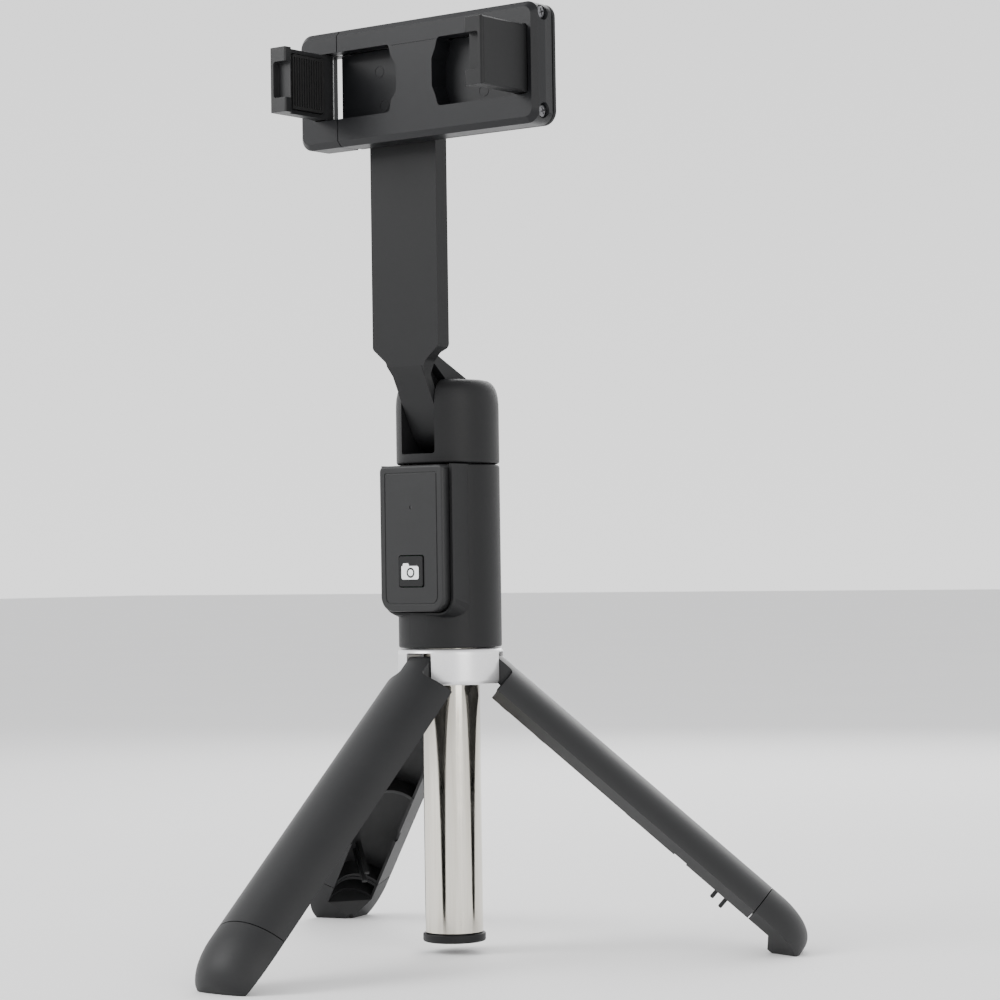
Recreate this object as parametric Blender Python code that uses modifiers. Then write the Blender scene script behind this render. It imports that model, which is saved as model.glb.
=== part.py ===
# Selfie stick: telescoping pole inside a tripod handle, pull-out remote,
# folding head arm and a spring-loaded phone holder with folding jaws.
# Metres, +Z up. The pole's axis is vertical; the remote faces -Y.
# Floor plane (the three feet) is z = 0.
import bpy
import bmesh
from math import pi, sin, cos, radians, sqrt, atan2, hypot
from mathutils import Matrix, Vector

# ---------------------------------------------------------------- dimensions (mm)
AXIS_Y = 22.17           # pole axis, so that the origin is the box's bottom centre

BODY_R = 15.2            # handle radius
BODY_Z0, BODY_Z1 = 89.5, 143.0
BORE_R = 8.85            # bore of the handle and the collar
DOCK_HALF, DOCK_Y = 13.2, -14.9   # cheeks of the remote's dock
DOCK_Z0 = 99.2                       # bottom of the dock, on its front face

COLLAR_R = 15.6
COLLAR_Z0, COLLAR_Z1 = 78.8, 89.2
NOTCH_HALF, NOTCH_TOP = 4.55, 88.1

TUBE_R = 8.5
TUBE_Z0, TUBE_Z1 = 6.05, 141.2
WALL = 0.4
STEP_R = (7.45, 6.45, 5.45, 4.45, 3.45)      # outer radii of the inner sections
PLUG_R, PLUG_Z0 = 9.25, 3.3

PIN_RAD, PIN_Z, PIN_R = 10.67, 84.6, 0.9     # leg pins: distance from axis, height
LEG_OPEN = 48.95         # degrees from vertical
LEG_R, LEG_HALF = 15.2, 57.0
LEG_IN, LEG_WALL_HALF = 13.75, 51.5
LEG_FREE = 8.86          # nothing on a leg comes closer to the pole's axis
SEAM_S = 105.5           # leg to foot seam, measured along the leg from its pin
FOOT_B = 8.87            # the foot's tip is this far in from its outer face
# length of a leg from its pin to its tip, which stands on z = 0 when the leg is open
FOOT_S = (PIN_Z + (LEG_R - FOOT_B - PIN_RAD) * sin(radians(LEG_OPEN))) / cos(radians(LEG_OPEN))

HEAD_Z0, HEAD_Z1 = 143.3, 168.0
SLOT_HALF, SLOT_Z = 6.15, 146.2
FOLD_Z = 157.5           # arm hinge height
KNUCKLE_R = 10.7

ARM_Y0, ARM_Y1 = -19.2, -14.1
ARM_HALF = 12.3
ARM_TOP = 266.5

HOLD_Z, HOLD_HALF = 253.0, 17.0     # swivel height, half height of the holder
HOLD_Y0, HOLD_Y1 = -29.05, -19.6    # front and back of the holder
HOLD_X0, SPLIT_X, HOLD_X1 = -31.4, -16.1, 56.2
COVER_T = 1.3
RECESS_Y = -22.55        # floor of the jaw recesses
JAW_Z, JAW_HALF = 253.8, 9.4
RECESS_HALF = 9.8
JAW_T, JAW_L = 6.2, 19.9
PIN_IN = 2.4             # jaw pin from the jaw's outer face and from the front face
LJ_X, RJ_X = -24.8, 53.0 # outer faces of the jaws

REM_HALF = 11.9
REM_Y0, REM_Y1 = -17.7, -10.1
REM_Z0, REM_Z1 = 100.2, 142.8
REM_SPLIT = -13.4        # seam between the remote's two shells

SEG = 32

# ---------------------------------------------------------------- set-up
for o in list(bpy.data.objects):
    bpy.data.objects.remove(o, do_unlink=True)
PARTS = bpy.data.collections.new("selfie_stick")
CUT = bpy.data.collections.new("cutters")
for c in (PARTS, CUT):
    bpy.context.scene.collection.children.link(c)

MM = 0.001


def material(name, rgb, rough, metal=0.0):
    m = bpy.data.materials.new(name)
    m.use_nodes = True
    b = m.node_tree.nodes["Principled BSDF"]
    b.inputs["Base Color"].default_value = (*rgb, 1)
    b.inputs["Roughness"].default_value = rough
    b.inputs["Metallic"].default_value = metal
    return m


COLOURS = {
    "dark": ((0.045, 0.046, 0.048), 0.5, 0.0),
    "slate": ((0.075, 0.077, 0.085), 0.45, 0.0),
    "silver": ((0.78, 0.78, 0.78), 0.3, 0.2),
    "steel": ((0.75, 0.74, 0.72), 0.15, 1.0),
    "rubber": ((0.03, 0.03, 0.03), 0.8, 0.0),
    "pcb": ((0.02, 0.12, 0.05), 0.5, 0.0),
    "white": ((0.85, 0.85, 0.85), 0.4, 0.0),
}


def to_object(name, bm, colour=None, coll=None):
    me = bpy.data.meshes.new(name)
    bmesh.ops.recalc_face_normals(bm, faces=bm.faces)
    bm.to_mesh(me)
    bm.free()
    ob = bpy.data.objects.new(name, me)
    (coll or (PARTS if colour else CUT)).objects.link(ob)
    if colour:
        me.materials.append(material(name, *COLOURS[colour]))
        me.shade_smooth()
        me.set_sharp_from_angle(angle=radians(35))
    else:
        ob.hide_render = True
        ob.display_type = "WIRE"
    return ob


def scaled(bm):
    bmesh.ops.scale(bm, vec=(MM, MM, MM), verts=bm.verts)
    return bm


def block(x0, x1, y0, y1, z0, z1, bevel=0.0, segs=1, pick=None):
    """A box between two corners; pick(edge) chooses the edges that are bevelled."""
    bm = bmesh.new()
    bmesh.ops.create_cube(bm, size=1.0)
    bmesh.ops.scale(bm, vec=(x1 - x0, y1 - y0, z1 - z0), verts=bm.verts)
    bmesh.ops.translate(bm, vec=((x0 + x1) / 2, (y0 + y1) / 2, (z0 + z1) / 2), verts=bm.verts)
    if bevel:
        edges = [e for e in bm.edges if pick is None or pick(e)]
        bmesh.ops.bevel(bm, geom=edges, offset=bevel, segments=segs, profile=0.5, affect="EDGES")
    return scaled(bm)


def along(axis):
    def test(e):
        d = (e.verts[1].co - e.verts[0].co).normalized()
        return abs(d[axis]) > 0.99
    return test


def rod(r, a, b, segs=16, r2=None):
    """A cylinder or cone between two points."""
    a, b = Vector(a), Vector(b)
    bm = bmesh.new()
    d = b - a
    m = Matrix.Translation((a + b) / 2) @ d.to_track_quat("Z", "Y").to_matrix().to_4x4()
    bmesh.ops.create_cone(bm, cap_ends=True, segments=segs, radius1=r,
                          radius2=r if r2 is None else r2, depth=d.length, matrix=m)
    return scaled(bm)


def prism(outline, lo, hi, plane="XY"):
    """A flat outline as a filled 2D curve, extruded from lo to hi along the plane's normal."""
    cu = bpy.data.curves.new("outline", "CURVE")
    cu.dimensions = "2D"
    cu.fill_mode = "BOTH"
    cu.extrude = (hi - lo) / 2 * MM
    sp = cu.splines.new("POLY")
    sp.points.add(len(outline) - 1)
    for p, (u, v) in zip(sp.points, outline):
        p.co = (u * MM, v * MM, 0, 1)
    sp.use_cyclic_u = True
    ob = bpy.data.objects.new("outline", cu)
    bpy.context.scene.collection.objects.link(ob)
    bpy.context.view_layer.update()
    ev = ob.evaluated_get(bpy.context.evaluated_depsgraph_get())
    me = bpy.data.meshes.new_from_object(ev)
    bpy.data.objects.remove(ob, do_unlink=True)
    bm = bmesh.new()
    bm.from_mesh(me)
    bpy.data.meshes.remove(me)
    bmesh.ops.remove_doubles(bm, verts=bm.verts, dist=1e-6)
    mid = (lo + hi) / 2 * MM
    if plane == "XY":
        m = Matrix.Translation((0, 0, mid))
    elif plane == "XZ":      # u -> X, v -> Z, normal along Y
        m = Matrix(((1, 0, 0, 0), (0, 0, 1, mid), (0, 1, 0, 0), (0, 0, 0, 1)))
    else:                    # "YZ": u -> Y, v -> Z, normal along X
        m = Matrix(((0, 0, 1, mid), (1, 0, 0, 0), (0, 1, 0, 0), (0, 0, 0, 1)))
    bmesh.ops.transform(bm, matrix=m, verts=bm.verts)
    return bm


def screw_profile(name, profile, colour=None, segs=SEG):
    """A turned piece about Z: the profile runs down its outer side (and up the inside)."""
    me = bpy.data.meshes.new(name)
    n = len(profile)
    closed = profile[0][0] > 1e-9
    edges = [(i, i + 1) for i in range(n - 1)] + ([(n - 1, 0)] if closed else [])
    me.from_pydata([(r * MM, 0, z * MM) for r, z in profile], edges, [])
    ob = bpy.data.objects.new(name, me)
    (PARTS if colour else CUT).objects.link(ob)
    s = ob.modifiers.new("turn", "SCREW")
    s.steps = s.render_steps = segs
    s.use_merge_vertices = True
    s.merge_threshold = 0.00001
    s.use_smooth_shade = True
    if colour:
        me.materials.append(material(name, *COLOURS[colour]))
    else:
        ob.hide_render = True
        ob.display_type = "WIRE"
    return ob


def pipe(name, r1, r0, z0, z1, colour=None, segs=SEG):
    return screw_profile(name, [(r1, z1), (r1, z0), (r0, z0), (r0, z1)], colour, segs)


def boolean(ob, other, op="DIFFERENCE"):
    if isinstance(other, bmesh.types.BMesh):
        other = to_object(ob.name + "_tool", other)
    b = ob.modifiers.new(op.lower(), "BOOLEAN")
    b.operation = op
    b.object = other
    b.solver = "EXACT"
    return ob


def cut(ob, *tools):
    for t in tools:
        boolean(ob, t)
    return ob


def join(ob, *tools):
    for t in tools:
        boolean(ob, t, "UNION")
    return ob


def baked(ob, keep=False):
    """The evaluated mesh of an object in place of its modifiers."""
    bpy.context.view_layer.update()
    ev = ob.evaluated_get(bpy.context.evaluated_depsgraph_get())
    me = bpy.data.meshes.new_from_object(ev)
    ob.modifiers.clear()
    ob.data = me
    return ob


def arc(r, a0, a1, n, cx=0.0, cy=0.0):
    return [(cx + r * cos(radians(a0 + (a1 - a0) * i / n)),
             cy + r * sin(radians(a0 + (a1 - a0) * i / n))) for i in range(n + 1)]


def sector(r0, r1, half, n=8, mid=-90.0):
    """Outline of a slice of a ring, centred on the angle mid."""
    return arc(r1, mid - half, mid + half, n) + arc(r0, mid + half, mid - half, max(n - 2, 2))


def round_rect(u0, u1, v0, v1, r, n=3):
    return (arc(r, 180, 270, n, u0 + r, v0 + r) + arc(r, 270, 360, n, u1 - r, v0 + r)
            + arc(r, 0, 90, n, u1 - r, v1 - r) + arc(r, 90, 180, n, u0 + r, v1 - r))


def hull2d(points):
    pts = sorted(set((round(x, 5), round(y, 5)) for x, y in points))

    def half(ps):
        out = []
        for p in ps:
            while len(out) > 1 and ((out[-1][0] - out[-2][0]) * (p[1] - out[-2][1])
                                    - (out[-1][1] - out[-2][1]) * (p[0] - out[-2][0])) <= 0:
                out.pop()
            out.append(p)
        return out[:-1]
    return half(pts) + half(pts[::-1])


def pivot(ob, p):
    """Put the object's origin at p (mm, pole frame) and its place in the model's frame."""
    p = Vector(p) * MM
    ob.data.transform(Matrix.Translation(-p))
    ob.location = p
    return ob


# ---------------------------------------------------------------- pole
pipe("tube_outer", TUBE_R, TUBE_R - WALL, TUBE_Z0, TUBE_Z1, "steel", 36)

screw_profile("tube_end_plug", [
    (0.0, 15.0), (7.4, 15.0), (7.8, 14.4), (7.8, TUBE_Z0 - 0.3), (PLUG_R - 0.3, TUBE_Z0 - 0.3),
    (PLUG_R, TUBE_Z0 - 0.6), (PLUG_R, PLUG_Z0 + 0.5), (PLUG_R - 0.5, PLUG_Z0), (0.0, PLUG_Z0)], "dark", 36)

for i, r in enumerate(STEP_R, 1):
    top = 146.0 if i == 5 else BODY_Z1 - 0.3
    pipe(f"tube_section_{i}", r, r - WALL, 14.8 + 2.2 * i, top, "steel", 28 if i < 4 else 24)
    wall = (TUBE_R - WALL) if i == 1 else STEP_R[i - 2] - WALL
    pipe(f"friction_sleeve_{i}", wall - 0.14, r + 0.12, 16.0 + 2.2 * i, 24.0 + 2.2 * i, "dark",
         28 if i < 4 else 24)

# ---------------------------------------------------------------- handle
body = screw_profile("handle_shell", [
    (BODY_R - 0.4, BODY_Z1), (BODY_R, BODY_Z1 - 0.4), (BODY_R, BODY_Z0 + 0.3), (BODY_R - 0.3, BODY_Z0),
    (BORE_R, BODY_Z0), (BORE_R, 141.5), (STEP_R[0] + 0.3, 141.5), (STEP_R[0] + 0.3, BODY_Z1)], "dark", 40)
# the remote's dock: a raised platform with rounded lower corners, easing back to the cylinder
dock = to_object("dock", prism(arc(5.6, 180, 270, 5, -DOCK_HALF + 5.6, DOCK_Z0 + 5.6)
                               + arc(5.6, 270, 360, 5, DOCK_HALF - 5.6, DOCK_Z0 + 5.6)
                               + [(DOCK_HALF, BODY_Z1 - 0.02), (-DOCK_HALF, BODY_Z1 - 0.02)], DOCK_Y, -1.0, "XZ"))
for v in dock.data.vertices:
    if v.co.y > -2 * MM and v.co.z < (DOCK_Z0 + 5.7) * MM:
        v.co.z -= 5.0 * MM
cut(dock, rod(BORE_R + 0.4, (0, 0, 80), (0, 0, 160), 32))
join(body, dock)
cut(body,
    block(-REM_HALF - 0.35, REM_HALF + 0.35, -30, REM_Y1 + 0.35, REM_Z0 - 0.35, BODY_Z1 + 5, 4.2, 4,
          lambda e: along(1)(e) and e.verts[0].co.z < REM_Z0 + 3))

# ---------------------------------------------------------------- collar and leg pins
ring = screw_profile("collar_ring", [
    (COLLAR_R - 0.7, COLLAR_Z1), (COLLAR_R, COLLAR_Z1 - 0.9), (COLLAR_R, COLLAR_Z0 + 0.9),
    (COLLAR_R - 0.7, COLLAR_Z0), (BORE_R, COLLAR_Z0), (BORE_R, COLLAR_Z1)], "silver", 48)
for k, ang in (("front", 0.0), ("right", 120.0), ("left", 240.0)):
    turn = Matrix.Rotation(radians(ang), 4, "Z")
    notch = to_object("notch_" + k, block(-NOTCH_HALF, NOTCH_HALF, -20, -8.0, COLLAR_Z0 - 2, NOTCH_TOP))
    hole = to_object("pin_hole_" + k, rod(PIN_R + 0.25, (-9.5, -PIN_RAD, PIN_Z), (9.5, -PIN_RAD, PIN_Z), 12))
    for t in (notch, hole):
        t.data.transform(turn)
        boolean(ring, t)
    pin = to_object("leg_pin_" + k, rod(PIN_R, (-9.2, -PIN_RAD, PIN_Z), (9.2, -PIN_RAD, PIN_Z), 12), "steel")
    pivot(pin, (0, -PIN_RAD, PIN_Z))
    pin.location = turn @ pin.location
    pin.rotation_euler = (0, 0, radians(ang))

# ---------------------------------------------------------------- legs and feet
def leg_side(boss):
    """Side outline (Y, Z) of the leg: the boss round the pin, then the long outer line."""
    pts = [(-PIN_RAD + 1.8 * cos(radians(a)), PIN_Z + 1.8 * sin(radians(a)))
           for a in (0, 25, 50, 75, 100, 125)]
    pts += [(-PIN_RAD - 2.4, PIN_Z + 0.9), (-LEG_R - 0.2, PIN_Z - 1.9)]
    pts += [(-LEG_R - 0.2, PIN_Z - SEAM_S), (-2.0, PIN_Z - SEAM_S), (-2.0, PIN_Z - 10.4)]
    pts += [(-4.2, PIN_Z - 7.6), (-PIN_RAD + 1.8, PIN_Z - 7.6)]
    return pts


def leg_front():
    """Front outline (X, Z): a narrow tongue that flares into full width."""
    full = LEG_R
    side = [(4.15, PIN_Z + 4), (4.15, PIN_Z - 6.4), (4.5, PIN_Z - 7.3), (5.4, PIN_Z - 7.9),
            (7.5, PIN_Z - 8.2), (10.0, PIN_Z - 8.4), (full, PIN_Z - 8.6), (full, PIN_Z - SEAM_S - 2)]
    return [(-x, z) for x, z in side] + side[::-1]


leg = to_object("leg_front", prism(sector(LEG_FREE, LEG_R, LEG_HALF, 12), PIN_Z - SEAM_S, PIN_Z + 3.5), "dark")
boolean(leg, prism(leg_front(), -17, -3, "XZ"), "INTERSECT")
boolean(leg, prism(leg_side(1.8), -17, 17, "YZ"), "INTERSECT")
cut(leg,
    prism(sector(5.0, LEG_IN, LEG_WALL_HALF, 8), PIN_Z - 60.0, PIN_Z - 14.0),
    prism(sector(5.0, LEG_IN, LEG_WALL_HALF, 8), PIN_Z - SEAM_S + 1.4, PIN_Z - 61.3),
    rod(PLUG_R + 0.45, (0, 0, PLUG_Z0 - 1.0), (0, 0, TUBE_Z0 + 0.8), 32),   # clears the plug's flange when folded
    rod(PIN_R + 0.25, (-20, -PIN_RAD, PIN_Z), (20, -PIN_RAD, PIN_Z), 12))
# two latch fingers inside, below the end of the tube when folded
for s, tip in ((94.0, -1.6), (97.6, -1.0)):
    join(leg, block(-0.7, 0.7, -LEG_IN - 0.6, tip, PIN_Z - s - 0.6, PIN_Z - s + 0.6))
baked(leg)

foot = to_object("foot_front", prism(sector(1.2, LEG_R + 1, LEG_HALF, 10), PIN_Z - FOOT_S - 1, PIN_Z - SEAM_S - 0.3), "rubber")
tip_y = -(LEG_R - FOOT_B)
slope = sin(radians(LEG_OPEN)) / cos(radians(LEG_OPEN))
dome = [(0.0, PIN_Z - SEAM_S + 2), (LEG_R, PIN_Z - SEAM_S + 2), (LEG_R, PIN_Z - SEAM_S - 4.0)]
for a in (14, 28, 42, 56, 70, 84):
    dome.append(((LEG_R + tip_y) * cos(radians(a)) ** 0.72 - tip_y, PIN_Z - SEAM_S - 4.0 - (FOOT_S - SEAM_S - 4.0) * sin(radians(a))))
dome += [(-tip_y, PIN_Z - FOOT_S), (0.0, PIN_Z - FOOT_S)]
boolean(foot, screw_profile("foot_dome", dome[::-1], None, 40), "INTERSECT")
# the sole is a plane that lies on the floor when the leg is open; a short lip runs in from it
boolean(foot, prism([(-LEG_R - 1, PIN_Z - SEAM_S + 1), (-LEG_R - 1, PIN_Z - FOOT_S + (-LEG_R - 1 - tip_y) * slope),
                     (-0.9, PIN_Z - FOOT_S + (-0.9 - tip_y) * slope), (-0.9, PIN_Z - 115.9), (-4.7, PIN_Z - 113.3),
                     (-4.7, PIN_Z - SEAM_S + 1)], -17, 17, "YZ"), "INTERSECT")
cut(foot,
    rod(LEG_FREE, (0, 0, PIN_Z - 113.3), (0, 0, PIN_Z - 90), 32),
    prism(sector(5.0, LEG_IN, LEG_WALL_HALF, 8), PIN_Z - 112.0, PIN_Z - SEAM_S - 1.6))
baked(foot)

for o in (leg, foot):
    pivot(o, (0, -PIN_RAD, PIN_Z))
    base = o.name.split("_")[0]
    for k, ang in (("front", 0.0), ("right", 120.0), ("left", 240.0)):
        c = o if k == "front" else bpy.data.objects.new(f"{base}_{k}", o.data)
        if k != "front":
            PARTS.objects.link(c)
        c.location = Matrix.Rotation(radians(ang), 4, "Z") @ (Vector((0, -PIN_RAD, PIN_Z)) * MM)
        c.rotation_euler = (Matrix.Rotation(radians(ang), 4, "Z")
                            @ Matrix.Rotation(radians(-LEG_OPEN), 4, "X")).to_euler()

# ---------------------------------------------------------------- head fork and arm hinge
head = screw_profile("head_fork", [
    (0.0, HEAD_Z1), (BODY_R - 5.2, HEAD_Z1), (BODY_R - 3.0, HEAD_Z1 - 0.5), (BODY_R - 1.4, HEAD_Z1 - 1.7),
    (BODY_R - 0.45, HEAD_Z1 - 3.4), (BODY_R - 0.1, HEAD_Z1 - 6.0), (BODY_R, HEAD_Z1 - 9.0),
    (BODY_R, HEAD_Z0 + 0.4), (BODY_R - 0.4, HEAD_Z0), (0.0, HEAD_Z0)], "dark", 40)
slot = to_object("head_slot", block(-SLOT_HALF, SLOT_HALF, -20, 20, SLOT_Z, HEAD_Z1 + 3, 0.8, 3,
                                    lambda e: along(1)(e) and e.verts[0].co.z < SLOT_Z + 1))
cut(head, slot,
    rod(STEP_R[4] + 0.3, (0, 0, HEAD_Z0 - 1), (0, 0, SLOT_Z + 1), 24),
    rod(2.25, (-20, 0, FOLD_Z), (12.2, 0, FOLD_Z), 20),     # pin bore, closed on the right
    rod(4.3, (-20, 0, FOLD_Z), (-12.6, 0, FOLD_Z), 24))     # counterbore for the pin's head

hinge = screw_profile("arm_hinge_pin", [
    (0.0, 14.0), (3.6, 14.0), (4.0, 13.6), (4.0, 12.9), (2.0, 12.9), (2.0, -11.2), (1.6, -11.8), (0.0, -11.8)], "steel", 20)
hinge.rotation_euler = (0, radians(-90), 0)
hinge.location = (0, 0, FOLD_Z * MM)

# arm: spade plate, slanting tongue and the knuckle round the hinge pin
plate = round_rect(-ARM_HALF, ARM_HALF, 190, ARM_TOP, 8.0, 5)
plate = ([(-ARM_HALF, 177.2), (-7.6, 173.0), (-6.3, 171.2), (-5.9, 170.0), (5.9, 170.0), (6.3, 171.2), (7.6, 173.0),
          (ARM_HALF, 177.2)] + [p for p in plate if p[1] > 200])
arm = to_object("arm", prism(plate, ARM_Y0, ARM_Y1, "XZ"), "dark")
tongue = hull2d([(ARM_Y0, 176.0), (ARM_Y0, 171.4), (ARM_Y1, 176.0)]
                + arc(KNUCKLE_R, 0, 360, 28, 0.0, FOLD_Z)
                + [(-12.2, 173.5), (-5.8, 168.2)])
knuckle = to_object("knuckle", prism(tongue, -5.9, 5.9, "YZ"))
join(arm, knuckle)
arm_pocket = [(-10.2, 184.0), (10.2, 184.0)] + arc(10.2, 0, 180, 8, 0, HOLD_Z)
cut(arm,
    prism(arm_pocket, ARM_Y1 - 1.5, ARM_Y1 + 3, "XZ"),
    rod(2.3, (-10, 0, FOLD_Z), (10, 0, FOLD_Z), 20),
    rod(8.2, (0, ARM_Y0 - 1, HOLD_Z), (0, ARM_Y0 + 0.9, HOLD_Z), 28),    # seat of the friction washer
    rod(1.7, (0, -25, HOLD_Z), (0, -10, HOLD_Z), 16),
    rod(3.2, (0, ARM_Y1 - 1.2, HOLD_Z), (0, ARM_Y1 - 3.2, HOLD_Z), 20))   # seat of the screw's head
pivot(baked(arm), (0, 0, FOLD_Z))

cover_in = [(-9.8, 184.4), (9.8, 184.4)] + arc(9.8, 0, 180, 8, 0, HOLD_Z)
cover = to_object("arm_back_cover", prism(cover_in, ARM_Y1 - 1.2, ARM_Y1, "XZ"), "dark")
pivot(baked(cut(cover, rod(3.5, (0, ARM_Y1 - 3, HOLD_Z), (0, ARM_Y1 + 1, HOLD_Z), 20))), (0, 0, FOLD_Z))

washer = to_object("swivel_washer", rod(7.8, (0, ARM_Y0 - 0.25, HOLD_Z), (0, ARM_Y0 + 0.75, HOLD_Z), 28), "white")
pivot(baked(cut(washer, rod(1.7, (0, -25, HOLD_Z), (0, -10, HOLD_Z), 16))), (0, 0, HOLD_Z))

screw = to_object("swivel_screw", rod(1.4, (0, RECESS_Y + 0.65, HOLD_Z), (0, ARM_Y1 - 2.0, HOLD_Z), 16), "steel")
join(screw, rod(2.9, (0, ARM_Y1 - 3.0, HOLD_Z), (0, ARM_Y1 - 1.4, HOLD_Z), 20))
cut(screw, block(-0.35, 0.35, ARM_Y1 - 2.1, ARM_Y1, HOLD_Z - 1.7, HOLD_Z + 1.7),
    block(-1.7, 1.7, ARM_Y1 - 2.1, ARM_Y1, HOLD_Z - 0.35, HOLD_Z + 0.35))
pivot(baked(screw), (0, 0, HOLD_Z))

nut = to_object("swivel_nut", rod(2.8, (0, RECESS_Y + 0.6, HOLD_Z), (0, HOLD_Y1 - 0.6, HOLD_Z), 6), "steel")
pivot(baked(cut(nut, rod(1.65, (0, -25, HOLD_Z), (0, -10, HOLD_Z), 16))), (0, 0, HOLD_Z))

# ---------------------------------------------------------------- phone holder
zc = HOLD_Z


def holder_block(name, x0, x1, y1, colour, left_round, right_round, r=4.0):
    """A block with its corners rounded in front view and its front rim chamfered."""
    lo, hi = zc - HOLD_HALF, zc + HOLD_HALF
    n = 4
    out = []
    out += arc(r, 180, 270, n, x0 + r, lo + r) if left_round else [(x0, lo)]
    out += arc(r, 270, 360, n, x1 - r, lo + r) if right_round else [(x1, lo)]
    out += arc(r, 0, 90, n, x1 - r, hi - r) if right_round else [(x1, hi)]
    out += arc(r, 90, 180, n, x0 + r, hi - r) if left_round else [(x0, hi)]
    bm = prism(out, HOLD_Y0, y1, "XZ")
    bmesh.ops.dissolve_limit(bm, angle_limit=radians(1), verts=bm.verts, edges=bm.edges)
    rim = [e for e in bm.edges if all(abs(v.co.y - HOLD_Y0 * MM) < 1e-6 for v in e.verts)
           and not (not left_round and all(abs(v.co.x - x0 * MM) < 1e-6 for v in e.verts))
           and not (not right_round and all(abs(v.co.x - x1 * MM) < 1e-6 for v in e.verts))]
    bmesh.ops.bevel(bm, geom=rim, offset=1.3 * MM, segments=2, profile=0.5, affect="EDGES")
    return to_object(name, bm, colour)


frame = holder_block("holder_frame", SPLIT_X, HOLD_X1, HOLD_Y1 - COVER_T - 0.3, "slate", False, True)
FRAME_BACK = HOLD_Y1 - COVER_T - 0.3
rails = (zc - 11.6, zc + 11.6)
cut(frame,
    # left recess, for the folded left jaw
    block(SPLIT_X - 1, 6.1, HOLD_Y0 - 1, RECESS_Y, JAW_Z - RECESS_HALF, JAW_Z + RECESS_HALF, 1.0, 2,
          lambda e: along(1)(e) and e.verts[0].co.x > 0),
    # right recess, for the folded right jaw and its root
    block(19.2, RJ_X + 0.4, HOLD_Y0 - 1, RECESS_Y, JAW_Z - RECESS_HALF, JAW_Z + RECESS_HALF, 1.0, 2,
          lambda e: along(1)(e)),
    # spring channels, closed by the back cover
    block(-12.0, 36.0, -25.5, FRAME_BACK + 1, zc + 13.1, zc + 16.1),
    block(-12.0, 36.0, -25.5, FRAME_BACK + 1, zc - 16.1, zc - 13.1),
    rod(3.0, (0, RECESS_Y + 0.45, zc), (0, -10, zc), 6),      # nut pocket, open at the back
    # right jaw pin
    rod(1.15, (RJ_X - PIN_IN, HOLD_Y0 + PIN_IN, JAW_Z - 12.4), (RJ_X - PIN_IN, HOLD_Y0 + PIN_IN, JAW_Z + 12.4), 12))
for z in rails:
    cut(frame, rod(1.3, (SPLIT_X - 1, -23.6, z), (38.0, -23.6, z), 12))
for z in (zc - 13.6, zc + 13.9):
    cut(frame, rod(1.0, (HOLD_X1 + 1, -25.2, z), (44.0, -25.2, z), 12),
        rod(2.35, (HOLD_X1 + 0.3, -25.2, z), (HOLD_X1 - 1.7, -25.2, z), 16, 1.0))
# the recess floor runs on to the left, inside the carriage's opening
join(frame, block(-19.8, SPLIT_X + 2.0, RECESS_Y, FRAME_BACK, JAW_Z - 9.3, JAW_Z + 9.3))
baked(frame)
pivot(frame, (0, 0, zc))

back = ([(SPLIT_X + 1.2, zc - HOLD_HALF)] + arc(4.0, 270, 360, 4, HOLD_X1 - 4, zc - HOLD_HALF + 4)
        + arc(4.0, 0, 90, 4, HOLD_X1 - 4, zc + HOLD_HALF - 4) + [(SPLIT_X + 1.2, zc + HOLD_HALF)])
bcover = to_object("holder_back_cover", prism(back, HOLD_Y1 - COVER_T, HOLD_Y1, "XZ"), "dark")
pivot(baked(cut(bcover, rod(1.75, (0, -30, zc), (0, -10, zc), 16),
                rod(3.0, (0, -30, zc), (0, HOLD_Y1 - 0.45, zc), 6))), (0, 0, zc))

for nm, z in (("lower", zc - 13.6), ("upper", zc + 13.9)):
    s = to_object("holder_end_screw_" + nm, rod(0.75, (HOLD_X1 - 0.2, -25.2, z), (45.0, -25.2, z), 12), "steel")
    join(s, rod(1.95, (HOLD_X1 - 0.15, -25.2, z), (HOLD_X1 - 1.4, -25.2, z), 16, 0.7))
    cut(s, block(HOLD_X1 - 0.65, HOLD_X1 + 1, -25.45, -24.95, z - 1.2, z + 1.2),
        block(HOLD_X1 - 0.65, HOLD_X1 + 1, -26.4, -24.0, z - 0.25, z + 0.25))
    pivot(baked(s), (HOLD_X1, -25.2, z))

# sliding carriage at the left end, on two steel guide rods
carriage = holder_block("carriage", HOLD_X0, SPLIT_X - 0.3, HOLD_Y1, "slate", True, False)
cut(carriage,
    block(LJ_X - 0.4, SPLIT_X + 1, HOLD_Y0 - 1, RECESS_Y, JAW_Z - RECESS_HALF, JAW_Z + RECESS_HALF, 1.0, 2,
          lambda e: along(1)(e) and e.verts[0].co.x < -20),
    block(-24.0, SPLIT_X + 1, HOLD_Y0 - 1, HOLD_Y1 + 1, JAW_Z - RECESS_HALF, JAW_Z + RECESS_HALF),
    rod(1.15, (LJ_X + PIN_IN, HOLD_Y0 + PIN_IN, JAW_Z - 12.4), (LJ_X + PIN_IN, HOLD_Y0 + PIN_IN, JAW_Z + 12.4), 12))
for z in rails:
    cut(carriage, rod(1.2, (SPLIT_X + 1, -23.6, z), (-29.4, -23.6, z), 12))
pivot(baked(carriage), (0, 0, zc))

for nm, z in (("lower", rails[0]), ("upper", rails[1])):
    g = to_object("guide_rod_" + nm, rod(0.95, (-29.2, -23.6, z), (36.0, -23.6, z), 12), "steel")
    pivot(g, (-29.2, -23.6, z))

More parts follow.
